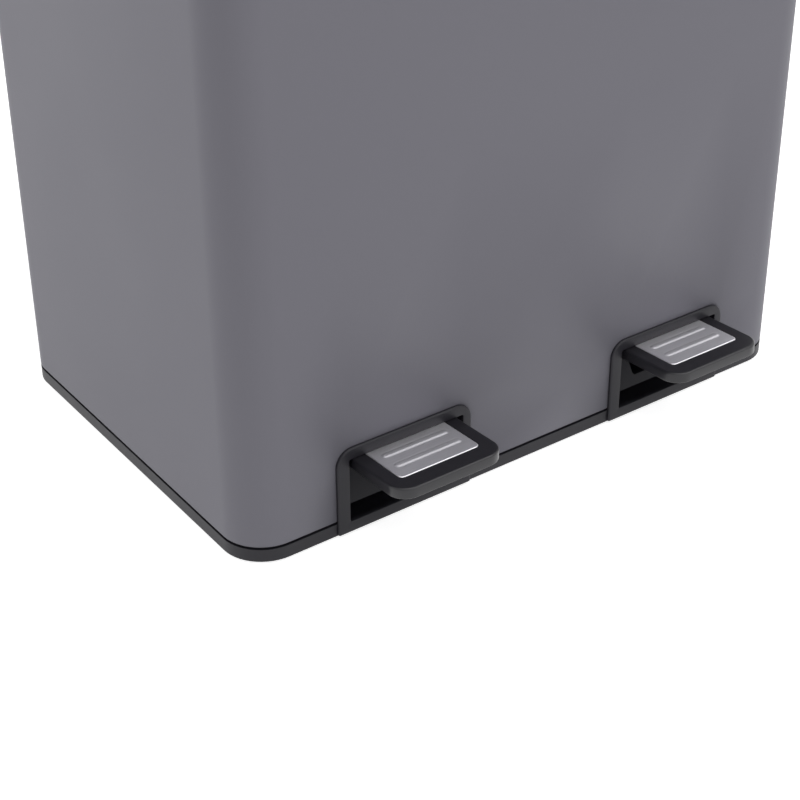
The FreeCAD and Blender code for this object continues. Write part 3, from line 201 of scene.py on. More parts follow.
class Signal:
    """A node's output that takes part in sums, so shader maths reads as plain expressions."""

    def __init__(self, finish, socket):
        self.finish = finish
        self.socket = socket

    def maths(self, operation, *values):
        return self.finish.node("ShaderNodeMath", {"operation": operation}, dict(enumerate(values)))

    def __add__(self, other):
        return self.maths("ADD", self, other)

    def __sub__(self, other):
        return self.maths("SUBTRACT", self, other)

    def __mul__(self, other):
        return self.maths("MULTIPLY", self, other)

    def __rsub__(self, other):
        return self.maths("SUBTRACT", other, self)

    __radd__ = __add__
    __rmul__ = __mul__


class Finish:
    """Builds the node tree of one material, or of the world where that is given."""

    def __init__(self, name, holder=None):
        self.material = holder or bpy.data.materials.new(name)
        self.material.use_nodes = True
        self.tree = self.material.node_tree
        self.tree.nodes.clear()

    def node(self, kind, settings=(), inputs=(), output=0):
        """Adds a node, first its settings and then its sockets, and gives one output."""
        made = self.tree.nodes.new(kind)
        for key, value in dict(settings).items():
            setattr(made, key, value)
        for key, value in dict(inputs).items():
            if isinstance(value, Signal):
                self.tree.links.new(value.socket, made.inputs[key])
            else:
                made.inputs[key].default_value = value
        return Signal(self, made.outputs[output]) if len(made.outputs) else None

    def object_space(self, stretch=(1, 1, 1)):
        place = self.node("ShaderNodeTexCoord", output="Object")
        return self.node("ShaderNodeMapping", {}, {"Vector": place, "Scale": stretch})

    def noise(self, scale, detail=2.0, stretch=(1, 1, 1)):
        """Smooth noise from 0 to 1; a scale of 1000 has features of a millimetre."""
        return self.node("ShaderNodeTexNoise", {}, {
            "Vector": self.object_space(stretch), "Scale": scale, "Detail": detail})

    def bump(self, height, distance, strength=1.0):
        """Shading relief whose height is in metres."""
        return self.node("ShaderNodeBump", {}, {
            "Height": height, "Distance": distance, "Strength": strength})

    def tint(self, colour, mask, darker):
        """The colour, mixed towards a darker share of itself by a mask."""
        low = tuple(channel * darker for channel in colour) + (1,)
        return self.node("ShaderNodeMix", {"data_type": "RGBA"}, {
            "Factor": mask, "A": low, "B": tuple(colour) + (1,)}, "Result")

    def seen(self):
        """1 for the rays that should meet plain white: to the camera, mirrored or let through."""
        rays = [self.node("ShaderNodeLightPath", output=f"Is {kind} Ray")
                for kind in ("Camera", "Glossy", "Transmission")]
        return rays[0] + rays[1] + rays[2]

    def surface(self, **sockets):
        """Ends the tree with a principled shader; names have spaces for underscores."""
        named = {key.replace("_", " "): value for key, value in sockets.items()}
        shader = self.node("ShaderNodeBsdfPrincipled", {}, named)
        self.node("ShaderNodeOutputMaterial", {}, {"Surface": shader})
        return self.material


def painted_steel(colour):
    """Satin metallic paint: fine sparkle, a faint cloudiness and a slight orange peel."""
    finish = Finish("painted_steel")
    cloud = finish.noise(9, 3)
    sparkle = finish.noise(2600, 1)
    peel = finish.noise(420, 2)
    return finish.surface(
        Base_Color=finish.tint(colour, 0.5 * cloud + 0.5 * sparkle, 0.93), Metallic=0.12,
        Roughness=0.50 + 0.10 * cloud, Normal=finish.bump(peel, 0.00004), IOR=1.38)


def moulded_plastic(name, colour, roughness, grain=1300, relief=0.00005, mirror=0.3):
    """Moulded plastic with the fine grain of its tool and soft dull patches."""
    finish = Finish(name)
    patches = finish.noise(30, 3)
    skin = finish.noise(grain, 3)
    return finish.surface(
        Base_Color=finish.tint(colour, 0.5 * patches + 0.5 * skin, 0.86),
        Roughness=roughness + 0.10 * patches, Normal=finish.bump(skin, relief),
        Specular_IOR_Level=mirror)


def brushed_steel(name, colour, roughness, stretch, relief=0.00002):
    """Brushed metal: noise drawn out along the brushing, in tone, gloss and relief."""
    finish = Finish(name)
    lines = finish.noise(2200, 3, stretch)
    smear = finish.noise(60, 2)
    return finish.surface(
        Base_Color=finish.tint(colour, 0.7 * lines + 0.3 * smear, 0.80), Metallic=1.0,
        Roughness=roughness + 0.14 * lines, Normal=finish.bump(lines, relief))


def zinc_plate(colour):
    """Zinc plating: bright metal with the mottling of its crystals."""
    finish = Finish("plain_steel")
    crystals = finish.node("ShaderNodeTexVoronoi", {"feature": "F1"}, {
        "Vector": finish.object_space(), "Scale": 500.0})
    mottle = finish.noise(140, 3)
    return finish.surface(
        Base_Color=finish.tint(colour, 0.6 * mottle + 0.4 * crystals, 0.78), Metallic=1.0,
        Roughness=0.30 + 0.16 * mottle, Normal=finish.bump(mottle, 0.00002))


finishes = {}


# ------------------------------------------------------------------ surface helpers

def outline(low, high, radii, arc=10, runs=1):
    """Rounded rectangle, anticlockwise from its low corner.

    Each corner is centre + r (cos a, sin a) with the angle a in equal steps over a quarter
    turn. The straight runs between them are cut into equal pieces. Gives the points and their
    outward directions, which on a corner are (cos a, sin a) too.
    """
    (x0, y0), (x1, y1) = low, high
    corners = ((x0, y0, 1, 1, 180), (x1, y0, -1, 1, 270), (x1, y1, -1, -1, 0), (x0, y1, 1, -1, 90))
    angle = np.linspace(0, np.pi / 2, arc + 1)
    points, ways = [], []
    for (x, y, sx, sy, start), radius in zip(corners, radii):
        turn = np.radians(start) + angle
        way = np.stack([np.cos(turn), np.sin(turn)], 1)
        points.append(np.array([x + sx * radius, y + sy * radius]) + radius * way)
        ways.append(way)
    share = np.linspace(0, 1, runs + 1)[1:-1, None]
    all_points, all_ways = [], []
    for i in range(4):
        after = points[(i + 1) % 4]
        all_points += [points[i], points[i][-1] + share * (after[0] - points[i][-1])]
        all_ways += [ways[i], np.repeat(ways[i][-1:], len(share), 0)]
    return np.concatenate(all_points), np.concatenate(all_ways)


def stack_loops(plan, ways, section):
    """Loops of a plan: each section row (outward, height) moves it along its ways and up."""
    section = np.asarray(section, float)
    flat = plan[None] + ways[None] * section[:, 0][:, None, None]
    height = np.broadcast_to(section[:, 1][:, None, None], flat.shape[:2] + (1,))
    return np.concatenate([flat, height], 2)


def fillet(centre, radius, start, end, steps=5):
    """Points of an arc in a section: centre + r (cos a, sin a) from start to end, in degrees."""
    angle = np.radians(np.linspace(start, end, steps + 1))
    return np.stack([centre[0] + radius * np.cos(angle), centre[1] + radius * np.sin(angle)], 1)


def strip_faces(rows, columns, wrap_rows=False, keep=None):
    """Four-cornered faces of a grid that is closed along its columns."""
    index = np.arange(rows * columns).reshape(rows, columns)
    if wrap_rows:
        index = np.vstack([index, index[:1]])
    right = np.roll(index, -1, 1)
    faces = np.stack([index[:-1], right[:-1], right[1:], index[1:]], 2)
    if keep is not None:
        faces = faces[keep]
    return faces.reshape(-1, 4).tolist()


def make_piece(name, points, faces, finish, body, replaced=(), sharp=35.0, closed=True):
    """Puts a surface into a new object that rides on a body of the frame."""
    mesh = bpy.data.meshes.new(name)
    mesh.from_pydata(np.asarray(points).reshape(-1, 3).tolist(), [], faces)
    if closed:
        shell = bmesh.new()
        shell.from_mesh(mesh)
        bmesh.ops.remove_doubles(shell, verts=shell.verts, dist=1e-7)
        bmesh.ops.recalc_face_normals(shell, faces=shell.faces)
        shell.to_mesh(mesh)
        shell.free()
    mesh.validate()
    mesh.polygons.foreach_set("use_smooth", np.ones(len(mesh.polygons), bool))
    mesh.set_sharp_from_angle(angle=math.radians(sharp))
    piece = bpy.data.objects.new(name, mesh)
    bpy.context.scene.collection.objects.link(piece)
    mesh.materials.append(finishes[finish])
    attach(piece, body)
    if replaced:
        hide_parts(*replaced)
    return piece


def loops_piece(name, loops, finish, body, ring=False, **how):
    """A piece from equal loops of points: joined by strips, and closed by caps or as a ring."""
    rows, columns = loops.shape[:2]
    faces = strip_faces(rows, columns, wrap_rows=ring)
    if not ring:
        faces.append(list(range(columns))[::-1])
        faces.append(list(range((rows - 1) * columns, rows * columns)))
    return make_piece(name, loops, faces, finish, body, **how)


def thicken(piece, thickness):
    """Gives a sheet its thickness, inwards from the face that is drawn."""
    wall = piece.modifiers.new("sheet", "SOLIDIFY")
    wall.thickness = thickness
    wall.offset = -1
    wall.use_rim = True
    return wall


def tube_loops(path, radius, sides):
    """Circles of a radius square to a path that lies level: p + r (cos a n + sin a z)."""
    path = np.asarray(path, float)
    along = np.gradient(path, axis=0)
    along /= np.linalg.norm(along, axis=1)[:, None]
    across = np.stack([-along[:, 1], along[:, 0], np.zeros(len(along))], 1)
    turn = np.linspace(0, 2 * np.pi, sides, endpoint=False)[None, :, None]
    return path[:, None] + radius * (np.cos(turn) * across[:, None]
                                     + np.sin(turn) * np.array([0, 0, 1.0]))


def bent_path(corners, radii, steps=8):
    """A path of straight runs whose corners are arcs, drawn as quadratic curves between runs."""
    corners = np.asarray(corners, float)
    share = np.linspace(0, 1, steps + 1)[:, None]
    path = [corners[:1]]
    for before, corner, after, radius in zip(corners, corners[1:], corners[2:], radii):
        start = corner + radius * (before - corner) / np.linalg.norm(before - corner)
        end = corner + radius * (after - corner) / np.linalg.norm(after - corner)
        path.append((1 - share) ** 2 * start + 2 * share * (1 - share) * corner
                    + share ** 2 * end)
    path.append(corners[-1:])
    return np.concatenate(path)


def screw_head(place, facing, radius):
    """Points and faces of a domed screw head with a cross recess.

    The height over the seat is h (1 - (r/R)^2)^0.5 less the recess, whose depth fades with the
    distance from two crossed slots. The head faces along the given direction. The shares below
    are of its radius.
    """
    rings, sides = 9, 32
    rise, edge_lift, slot_end, slot_half, slot_depth = 0.62, 1.02, 0.62, 0.16, 0.34
    r = np.linspace(0, 1, rings)[:, None]
    a = np.linspace(0, 2 * np.pi, sides, endpoint=False)[None]
    x, y = r * np.cos(a), r * np.sin(a)
    dome = rise * np.sqrt(np.clip(edge_lift - r ** 2, 0, 1)) + 0 * a
    slot = np.minimum(np.where(np.abs(x) < slot_end, np.abs(y), 1),
                      np.where(np.abs(y) < slot_end, np.abs(x), 1))
    dome = dome - slot_depth * np.clip(1 - slot / slot_half, 0, 1) * (r < slot_end)
    local = np.stack([x, y, dome], 2) * radius
    base = np.stack([x[-1], y[-1], np.zeros(sides)], 1)[None] * radius
    local = np.concatenate([local, base])
    facing = np.asarray(facing, float)
    side = np.cross(facing, (0, 0, 1) if abs(facing[2]) < 0.9 else (1, 0, 0))
    side /= np.linalg.norm(side)
    turned = (local[..., :1] * side + local[..., 1:2] * np.cross(facing, side)
              + local[..., 2:] * facing)
    faces = strip_faces(rings + 1, sides)
    faces.append(list(range(rings * sides, (rings + 1) * sides)))
    return turned.reshape(-1, 3) + np.asarray(place, float), faces


def screws_piece(name, places, facing, radius, body):
    """Several screws of one kind as one piece."""
    points, faces = [], []
    for place in places:
        some_points, some_faces = screw_head(place, facing, radius)
        faces += [[index + len(points) * len(some_points) for index in face]
                  for face in some_faces]
        points.append(some_points)
    return make_piece(name, np.concatenate(points), faces, "plain_steel", body, sharp=50)


def corners_of(*nodes):
    """Lowest and highest corner of one or more nodes of the frame."""
    lows, highs = zip(*(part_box(node) for node in nodes))
    return np.min([list(low) for low in lows], 0), np.max([list(high) for high in highs], 0)


def pedal_middle(side_name):
    """Where the middle of a side's pedal lies along X."""
    low, high = corners_of(side_name + "_pedal_bezel")
    return (low[0] + high[0]) / 2


# ------------------------------------------------------------------ operators

class MakeFinishes(bpy.types.Operator):
    """Makes the materials and puts them on the frame's nodes"""

    bl_idname = "bin.finishes"
    bl_label = "Finishes"

    def execute(self, context):
        colours = context.scene.bin_colours
        finishes["painted_steel"] = painted_steel(colours.paint)
        finishes["base_plastic"] = moulded_plastic("base_plastic", colours.plastic, 0.42)
        finishes["tread_plastic"] = moulded_plastic("tread_plastic", colours.tread, 0.30, mirror=0.5)
        finishes["bearing_plastic"] = moulded_plastic("bearing_plastic", colours.natural, 0.42, 700)
        finishes["bucket_plastic"] = moulded_plastic("bucket_plastic", colours.bucket, 0.42, 500)
        finishes["rubber"] = moulded_plastic("rubber", colours.rubber, 0.72, 900, 0.0001)
        finishes["stainless_steel"] = brushed_steel("stainless_steel", colours.steel, 0.42,
                                                    (0.02, 1, 1))
        finishes["plain_steel"] = zinc_plate(colours.zinc)
        smooth = smoothing_group()
        for entry in frame["record"]["subparts"]:
            node = frame["nodes"][entry["node"]]
            if not node.material_slots:
                node.data.materials.append(None)
            node.material_slots[0].material = finishes[entry["material_slot"]]
            node.modifiers.new("smooth", "NODES").node_group = smooth
        return {"FINISHED"}


def smoothing_group():
    """Joins a node's loose triangles and shades its rounded faces smooth."""
    group = bpy.data.node_groups.new("smooth_faces", "GeometryNodeTree")
    group.interface.new_socket("Geometry", in_out="INPUT", socket_type="NodeSocketGeometry")
    group.interface.new_socket("Geometry", in_out="OUTPUT", socket_type="NodeSocketGeometry")
    start = group.nodes.new("NodeGroupInput")
    weld = group.nodes.new("GeometryNodeMergeByDistance")
    weld.inputs["Distance"].default_value = 2e-6
    smooth = group.nodes.new("GeometryNodeSetShadeSmooth")
    smooth.domain = "FACE"
    angle = group.nodes.new("GeometryNodeInputMeshEdgeAngle")
    bent = group.nodes.new("FunctionNodeCompare")
    bent.data_type = "FLOAT"
    bent.operation = "GREATER_THAN"
    bent.inputs[1].default_value = math.radians(32)
    crease = group.nodes.new("GeometryNodeSetShadeSmooth")
    crease.domain = "EDGE"
    crease.inputs["Shade Smooth"].default_value = False
    end = group.nodes.new("NodeGroupOutput")
    links = group.links
    links.new(start.outputs[0], weld.inputs["Geometry"])
    links.new(weld.outputs[0], smooth.inputs[0])
    links.new(smooth.outputs[0], crease.inputs[0])
    links.new(angle.outputs["Unsigned Angle"], bent.inputs[0])
    links.new(bent.outputs[0], crease.inputs["Selection"])
    links.new(crease.outputs[0], end.inputs[0])
    return group


class MakeBody(bpy.types.Operator):
    """Makes the wrapped steel sheet of the body"""

    bl_idname = "bin.body"
    bl_label = "Body sheet"

    def execute(self, context):
        sizes = context.scene.bin_sizes
        sheet = sizes.sheet
        low, high = corners_of("outer_shell")
        plan, ways = outline(low[:2], high[:2], [sizes.body_corner] * 4, BODY.arc)
        # the front run gets columns at the edges of the cut-outs, the back run at the seam
        cuts = []
        for name, _ in SIDES:
            edge_low, edge_high = corners_of(name + "_pedal_bezel")
            cuts += [edge_low[0] + BODY.lap, edge_high[0] - BODY.lap]
        front = np.stack([cuts, np.full(len(cuts), low[1])], 1)
        back = np.stack([BODY.seam, np.full(len(BODY.seam), high[1])], 1)
        corner = BODY.arc + 1
        plan = np.concatenate([plan[:corner], front, plan[corner:3 * corner], back,
                               plan[3 * corner:]])
        ways = np.concatenate([ways[:corner], np.tile([0, -1.0], (len(front), 1)),
                               ways[corner:3 * corner], np.tile([0, 1.0], (len(back), 1)),
                               ways[3 * corner:]])
        window_top = corners_of("left_pedal_bezel")[1][2] - BODY.lap
        bottom, top = low[2], high[2]
        section = np.concatenate([
            [(-2 * sheet, bottom + sizes.hem)],
            fillet((-sheet, bottom + sheet), sheet, 180, 360, 8),
            [(0, window_top), (0, bottom + BODY.middle), (0, top - BODY.upper)],
            fillet((-sheet, top - sheet), sheet, 0, 180, 8), [(-2 * sheet, top - sizes.hem)]])
        loops = stack_loops(plan, ways, section)
        # the seam is a groove between the third and fourth of its columns
        seam = 3 * corner + len(front)
        loops[1:-1, seam + 2:seam + 4, 1] -= BODY.seam_depth
        kept = np.ones((len(section) - 1, len(plan)), bool)
        window_row = int(np.argmax(section[:, 1] == window_top))
        kept[:window_row, [corner, corner + 2]] = False
        faces = strip_faces(len(section), len(plan), keep=kept)
        piece = make_piece("body_sheet", loops, faces, "painted_steel", "cabinet",
                           replaced=["outer_shell"], sharp=40, closed=False)
        thicken(piece, sheet)
        return {"FINISHED"}


class MakeSurrounds(bpy.types.Operator):
    """Makes the plastic surrounds of the pedals with their wells"""

    bl_idname = "bin.surrounds"
    bl_label = "Pedal surrounds"

    def execute(self, context):
        sizes = context.scene.bin_sizes
        edge, soft, wall = sizes.surround_edge, WELL.soft, WELL.wall
        sheet_face = corners_of("outer_shell")[0][1]
        for name, _ in SIDES:
            low, high = corners_of(name + "_pedal_bezel")
            face, middle = low[1], (low[0] + high[0]) / 2
            sill = low[2] + WELL.sill
            lintel = sill + WELL.height
            left, right = middle + WELL.shift - WELL.half, middle + WELL.shift + WELL.half
            outer, out_way = outline((low[0], low[2]), (high[0], high[2]),
                                     [WELL.foot_corner] * 2 + [sizes.surround_corner] * 2,
                                     *WELL.steps)
            inner, in_way = outline((left, sill), (right, lintel), [WELL.corner] * 4, *WELL.steps)

            def at(points, depth):
                """Points of the front view, x and z, at a depth."""
                depth = np.broadcast_to(depth, (len(points),))
                return np.stack([points[:, 0], depth, points[:, 1]], 1)

            def well(points, extra=0.0):
                """Depth of the well: it grows with the height, and the floor ends in front."""
                share = np.clip((points[:, 1] - sill) / (lintel - sill), 0, 1)
                sloping = sheet_face + WELL.depth + WELL.slope * share + extra
                on_floor = points[:, 1] < sill + WELL.floor_edge
                return np.where(on_floor, sheet_face + WELL.floor_depth, sloping)

            loops = [at(outer, sheet_face)]
            for across, out in fillet((-edge, edge), edge, 0, 90, 5):
                loops.append(at(outer + out_way * np.minimum(across, 0), face + 2 * edge - out))
            for across, out in fillet((soft, soft), soft, 90, 180, 4):
                loops.append(at(inner + in_way * across, face + 2 * soft - out))
            tube = inner + in_way * wall
            loops += [at(inner, well(inner)), at(inner, well(inner, wall)),
                      at(tube, well(tube, wall)), at(tube, sheet_face)]
            loops_piece(name + "_surround", np.array(loops), "base_plastic", "cabinet",
                        ring=True, replaced=[name + "_pedal_bezel"])
            # the well's sloping back ends above an open gap and has a slot for the arm
            back, _ = outline((left - wall / 2, sill + WELL.gap),
                              (right + wall / 2, lintel + wall / 2),
                              [WELL.back_corner] * 4, *WELL.steps)
            slot, _ = outline((middle - WELL.slot_half, sill + WELL.slot_foot),
                              (middle + WELL.slot_half, lintel - WELL.slot_head),
                              [WELL.slot_corner] * 4, *WELL.steps)
            sheets = [at(back, well(back)), at(slot, well(slot)), at(slot, well(slot, wall)),
                      at(back, well(back, wall))]
            loops_piece(name + "_well_back", np.array(sheets), "base_plastic", "cabinet",
                        ring=True)
        return {"FINISHED"}


def on_tread(points, side_name, sizes):
    """Points drawn on a level tread, moved to the sloping one: turned by the tilt about X."""
    low, high = corners_of(side_name + "_pedal_tread")
    tilt = -sizes.tread_tilt
    spin = np.array([[1, 0, 0], [0, math.cos(tilt), -math.sin(tilt)],
                     [0, math.sin(tilt), math.cos(tilt)]])
    return np.asarray(points) @ spin.T + np.array([(low[0] + high[0]) / 2, low[1], TREAD.height])


class MakePedals(bpy.types.Operator):
    """Makes the treads, their steel plates and the screws below"""

    bl_idname = "bin.pedals"
    bl_label = "Pedals"

    def execute(self, context):
        sizes = context.scene.bin_sizes
        for name, _ in SIDES:
            self.tread(name, sizes)
            self.plate(name, sizes)
            places = [on_tread((0, y, TREAD.screw_seat), name, sizes) for y in TREAD.screws]
            facing = (0, math.sin(-sizes.tread_tilt), -math.cos(sizes.tread_tilt))
            screws_piece(name + "_tread_screws", places, facing, sizes.screw_head,
                         name + "_pedal")
        return {"FINISHED"}

    def tread(self, name, sizes):
        """Loops from the hollow's ceiling, round the lower rim and over to the plate's seat."""
        half, length, thick, wall = TREAD.half, TREAD.length, TREAD.thick, TREAD.wall
        corner, edge, soft = sizes.tread_corner, sizes.tread_edge, TREAD.soft
        plan, ways = outline((-half, 0), (half, length),
                             [corner] * 2 + [TREAD.back_corner] * 2, *TREAD.steps)
        seat_half, seat_start = PLATE.half + PLATE.play, PLATE.margin - PLATE.play
        seat_end = PLATE.margin + PLATE.length + PLATE.play
        seat, seat_ways = outline((-seat_half, seat_start), (seat_half, seat_end),
                                  [PLATE.corner + PLATE.play] * 4, *TREAD.steps)
        hollow, hollow_ways = outline((wall - half, wall), (half - wall, length - wall),
                                      [corner - wall] * 2 + [soft] * 2, *TREAD.steps)
        sunk, chamfer, nick = thick - PLATE.sunk, TREAD.chamfer, TREAD.nick
        ceiling = sunk - wall
        loops = [stack_loops(hollow, hollow_ways, [(-chamfer, ceiling)]),
                 stack_loops(hollow, hollow_ways, [(0, ceiling - chamfer), (0, soft)]),
                 stack_loops(hollow, hollow_ways, fillet((soft, soft), soft, 180, 270, 3)),
                 stack_loops(plan, ways, fillet((-soft, soft), soft, 270, 360, 3)),
                 stack_loops(plan, ways, fillet((-edge, thick - edge), edge, 0, 90, 6)),
                 stack_loops(plan, ways, [(-edge - soft, thick)]),
                 stack_loops(seat, seat_ways, [(soft, thick), (nick, thick), (0, thick - nick),
                                               (0, sunk)])]
        loops_piece(name + "_tread", on_tread(np.concatenate(loops), name, sizes),
                    "tread_plastic", name + "_pedal", replaced=[name + "_pedal_tread"])

    def plate(self, name, sizes):
        """A pressed plate: its height over the seat is the gauge, plus two beads, less the edge.

        A bead rises by b s((w - q) / v), where q is the distance from the bead's middle line and
        s is a smooth step, inside a shallow moat. Near the border the height falls off as a
        quarter circle.
        """
        half, length, corner, roll = PLATE.half, PLATE.length, PLATE.corner, PLATE.roll
        x, y = np.meshgrid(np.linspace(-half, half, PLATE.columns),
                           np.linspace(0, length, PLATE.rows))
        # points past a corner's arc are drawn in to it
        cx = np.clip(x, corner - half, half - corner)
        cy = np.clip(y, corner, length - corner)
        reach = np.hypot(x - cx, y - cy)
        pull = np.where(reach > corner, corner / np.maximum(reach, 1e-9), 1)
        x, y = cx + (x - cx) * pull, cy + (y - cy) * pull
        at_corner = (np.abs(x - cx) > 0) & (np.abs(y - cy) > 0)
        border = np.where(at_corner, corner - np.hypot(x - cx, y - cy),
                          np.minimum.reduce([x + half, half - x, y, length - y]))
        near = np.clip(1 - border / roll, 0, 1)
        height = PLATE.gauge - roll * (1 - np.sqrt(1 - near ** 2)) * PLATE.roll_share
        for start in PLATE.beads:
            q = np.hypot(x - np.clip(x, -PLATE.bead_half, PLATE.bead_half), y - start)
            share = np.clip((PLATE.bead_reach - q) / PLATE.bead_slope, 0, 1)
            moat = np.clip(1 - np.abs(q - PLATE.moat_line) / PLATE.moat_half, 0, 1)
            height = height + PLATE.bead_height * share ** 2 * (3 - 2 * share)
            height = height - PLATE.moat_depth * moat
        seat = TREAD.thick - PLATE.sunk
        top = np.stack([x, y + PLATE.margin, seat + height], 2).reshape(-1, 3)
        index = np.arange(len(top)).reshape(x.shape)
        faces = np.stack([index[:-1, :-1], index[:-1, 1:], index[1:, 1:], index[1:, :-1]],
                         2).reshape(-1, 4).tolist()
        rim = np.concatenate([index[0, :-1], index[:-1, -1], index[-1, :0:-1], index[:0:-1, 0]])
        below = top[rim].copy()
        below[:, 2] = seat
        under = len(top) + np.arange(len(rim))
        faces += np.stack([rim, under, np.roll(under, -1), np.roll(rim, -1)], 1).tolist()
        faces.append(under.tolist())
        points = on_tread(np.concatenate([top, below]), name, sizes)
        make_piece(name + "_plate", points, faces, "stainless_steel", name + "_pedal",
                   replaced=[name + "_tread_plate"], sharp=60)


class MakeLids(bpy.types.Operator):
    """Makes the drawn steel skins of the lids"""

    bl_idname = "bin.lids"
    bl_label = "Lids"

    def execute(self, context):
        sizes = context.scene.bin_sizes
        edge, corner = sizes.lid_edge, LID.arc + 1
        for name, side in SIDES:
            low, high = corners_of(name + "_lid_skin")
            radii = [LID.corner] * 4
            radii[0 if side < 0 else 1] = sizes.body_corner
            plan, ways = outline(low[:2], high[:2], radii, LID.arc)
            # the back run gets columns at the slots of the two knuckles and the crank
            slots = [LID.knuckle + LID.knuckle_half, LID.knuckle - LID.knuckle_half, *LID.crank,
                     LID.knuckle_half - LID.knuckle, -LID.knuckle - LID.knuckle_half]
            back = np.stack([pedal_middle(name) + np.array(slots),
                             np.full(len(slots), high[1])], 1)
            plan = np.concatenate([plan[:3 * corner], back, plan[3 * corner:]])
            ways = np.concatenate([ways[:3 * corner], np.tile([0, 1.0], (len(back), 1)),
                                   ways[3 * corner:]])
            notch_top = corners_of(name + "_lid_frame")[1][2] + LID.over_liner
            section = np.concatenate([
                [(0, low[2]), (0, notch_top)], fillet((-edge, high[2] - edge), edge, 0, 90, 7),
                [(-edge - LID.top_step, high[2])]])
            loops = stack_loops(plan, ways, section)
            kept = np.ones((len(section) - 1, len(plan)), bool)
            kept[0, 3 * corner:3 * corner + len(slots):2] = False
            faces = strip_faces(len(section), len(plan), keep=kept)
            last = (len(section) - 1) * len(plan)
            faces.append(list(range(last, last + len(plan))))
            piece = make_piece(name + "_lid", loops, faces, "painted_steel", name + "_lid",
                               replaced=[name + "_lid_skin"], closed=False)
            thicken(piece, sizes.sheet)
        return {"FINISHED"}


class MakeBuckets(bpy.types.Operator):
    """Makes the moulded buckets with their wire handles and grips"""

    bl_idname = "bin.buckets"
    bl_label = "Buckets"

    def execute(self, context):
        sizes = context.scene.bin_sizes
        for name, _ in SIDES:
            self.bucket(name)
            self.handle(name, sizes)
        return {"FINISHED"}

    def bucket(self, name):
        """Loops of a rounded plan that shrinks by the draft towards the floor.

        They run up the outside, over the turned-down rim and down the inside.
        """
        low, high = corners_of(name + "_bucket")
        middle, base = pedal_middle(name), low[2]
        top, rim, wall, soft = base + PAIL.height, PAIL.rim, PAIL.wall, PAIL.soft
        centre_y = (low[1] + high[1]) / 2
        depth = (high[1] - low[1]) / 2 - rim
        plan, ways = outline((middle - PAIL.half, centre_y - depth),
                             (middle + PAIL.half, centre_y + depth), [PAIL.corner] * 4)

        def lean(z):
            return -(top - z) * math.tan(PAIL.draft)

        def side(ends, inset):
            return [(lean(z) - inset, z) for z in np.linspace(*ends, PAIL.rows)]

        turn, foot, inner = rim - PAIL.lip_wall, PAIL.foot, PAIL.foot - PAIL.step
        over, mouth = PAIL.rim_round, PAIL.mouth_round
        outside = (base + PAIL.outside[0], top - PAIL.outside[1])
        inside = (top - PAIL.inside[1], base + PAIL.inside[0])
        section = np.concatenate([
            [(lean(base) - foot, base)],
            fillet((lean(base) - foot, base + foot), foot, 270, 360, 5),
            side(outside, 0),
            [(lean(top - wall), top - wall - PAIL.step), (turn - soft, top - wall),
             (turn, top - wall - soft), (turn, top - PAIL.lip), (rim, top - PAIL.lip)],
            fillet((rim - over, top - over), over, 0, 90, 4),
            fillet((mouth - wall, top - mouth), mouth, 90, 180, 4),
            side(inside, wall),
            fillet((lean(base) - wall - inner, base + wall + inner), inner, 360, 270, 5),
            [(lean(base) - wall - inner - PAIL.step, base + wall)]])
        loops_piece(name + "_pail", stack_loops(plan, ways, section), "bucket_plastic",
                    name + "_bucket", replaced=[name + "_bucket"])
        ears = [self.ear(middle, hand, centre_y, top) for hand in (-1, 1)]
        count = len(ears[0][0])
        make_piece(name + "_handle_ears", np.concatenate([ear[0] for ear in ears]),
                   ears[0][1] + [[i + count for i in face] for face in ears[0][1]],
                   "bucket_plastic", name + "_bucket")

    def ear(self, middle, hand, centre_y, rim_top):
        """An ear with a hole: the outline and the hole have as many points, joined in rings."""
        turn = np.linspace(0, 2 * np.pi, EAR.sides, endpoint=False)
        circle = np.stack([np.cos(turn), np.sin(turn)], 1)
        up = np.clip(circle[:, 1], -EAR.foot_share, 1)
        shape = np.stack([EAR.half * circle[:, 0] * (1 - EAR.taper * np.clip(up, 0, 1)),
                          np.where(up > 0, EAR.head * up, EAR.foot * up)], 1)
        hole, small = EAR.hole * circle, EAR.soft_share * shape
        near = middle + hand * EAR.reach
        far = near + hand * EAR.gauge
        rings = [(hole, near), (small, near), (shape, near + hand * EAR.soft),
                 (shape, far - hand * EAR.soft), (small, far), (hole, far)]
        loops = np.array([np.column_stack([np.full(EAR.sides, x), centre_y + ring[:, 0],
                                           rim_top + EAR.over_rim + ring[:, 1]])
                          for ring, x in rings])
        return loops.reshape(-1, 3), strip_faces(len(rings), EAR.sides, wrap_rows=True)

    def handle(self, name, sizes):
        """A round wire along a bent path, and a ribbed grip turned about the wire's front run.

        The grip's radius is R - c sin^2 of the distance along it, which gives finger ridges.
        """
        middle, wire = pedal_middle(name), sizes.handle_wire
        low, high = corners_of(name + "_bail")
        grip_low, grip_high = corners_of(name + "_bail_grip")
        z, front = (low[2] + high[2]) / 2, (grip_low[1] + grip_high[1]) / 2
        arm, pivot = (high[0] - low[0]) / 2 - wire, high[1] - wire
        end = arm - HANDLE.end_turns * wire
        path = bent_path([(middle - end, pivot, z), (middle - arm, pivot, z),
                          (middle - arm, front, z), (middle + arm, front, z),
                          (middle + arm, pivot, z), (middle + end, pivot, z)], HANDLE.bends)
        loops_piece(name + "_handle", tube_loops(path, wire, HANDLE.sides), "plain_steel",
                    name + "_bail", replaced=[name + "_bail"])
        x = np.linspace(grip_low[0], grip_high[0], GRIP.steps)
        length = x[-1] - x[0]
        share = (x - x[0]) / length
        radius = (grip_high[1] - grip_low[1]) / 2
        radius = radius - GRIP.ridge * np.sin(GRIP.ridges * np.pi * share) ** 2
        to_end = np.minimum(share, 1 - share) * length
        radius = radius - GRIP.end_drop * np.clip(1 - to_end / GRIP.end_reach, 0, 1) ** 2
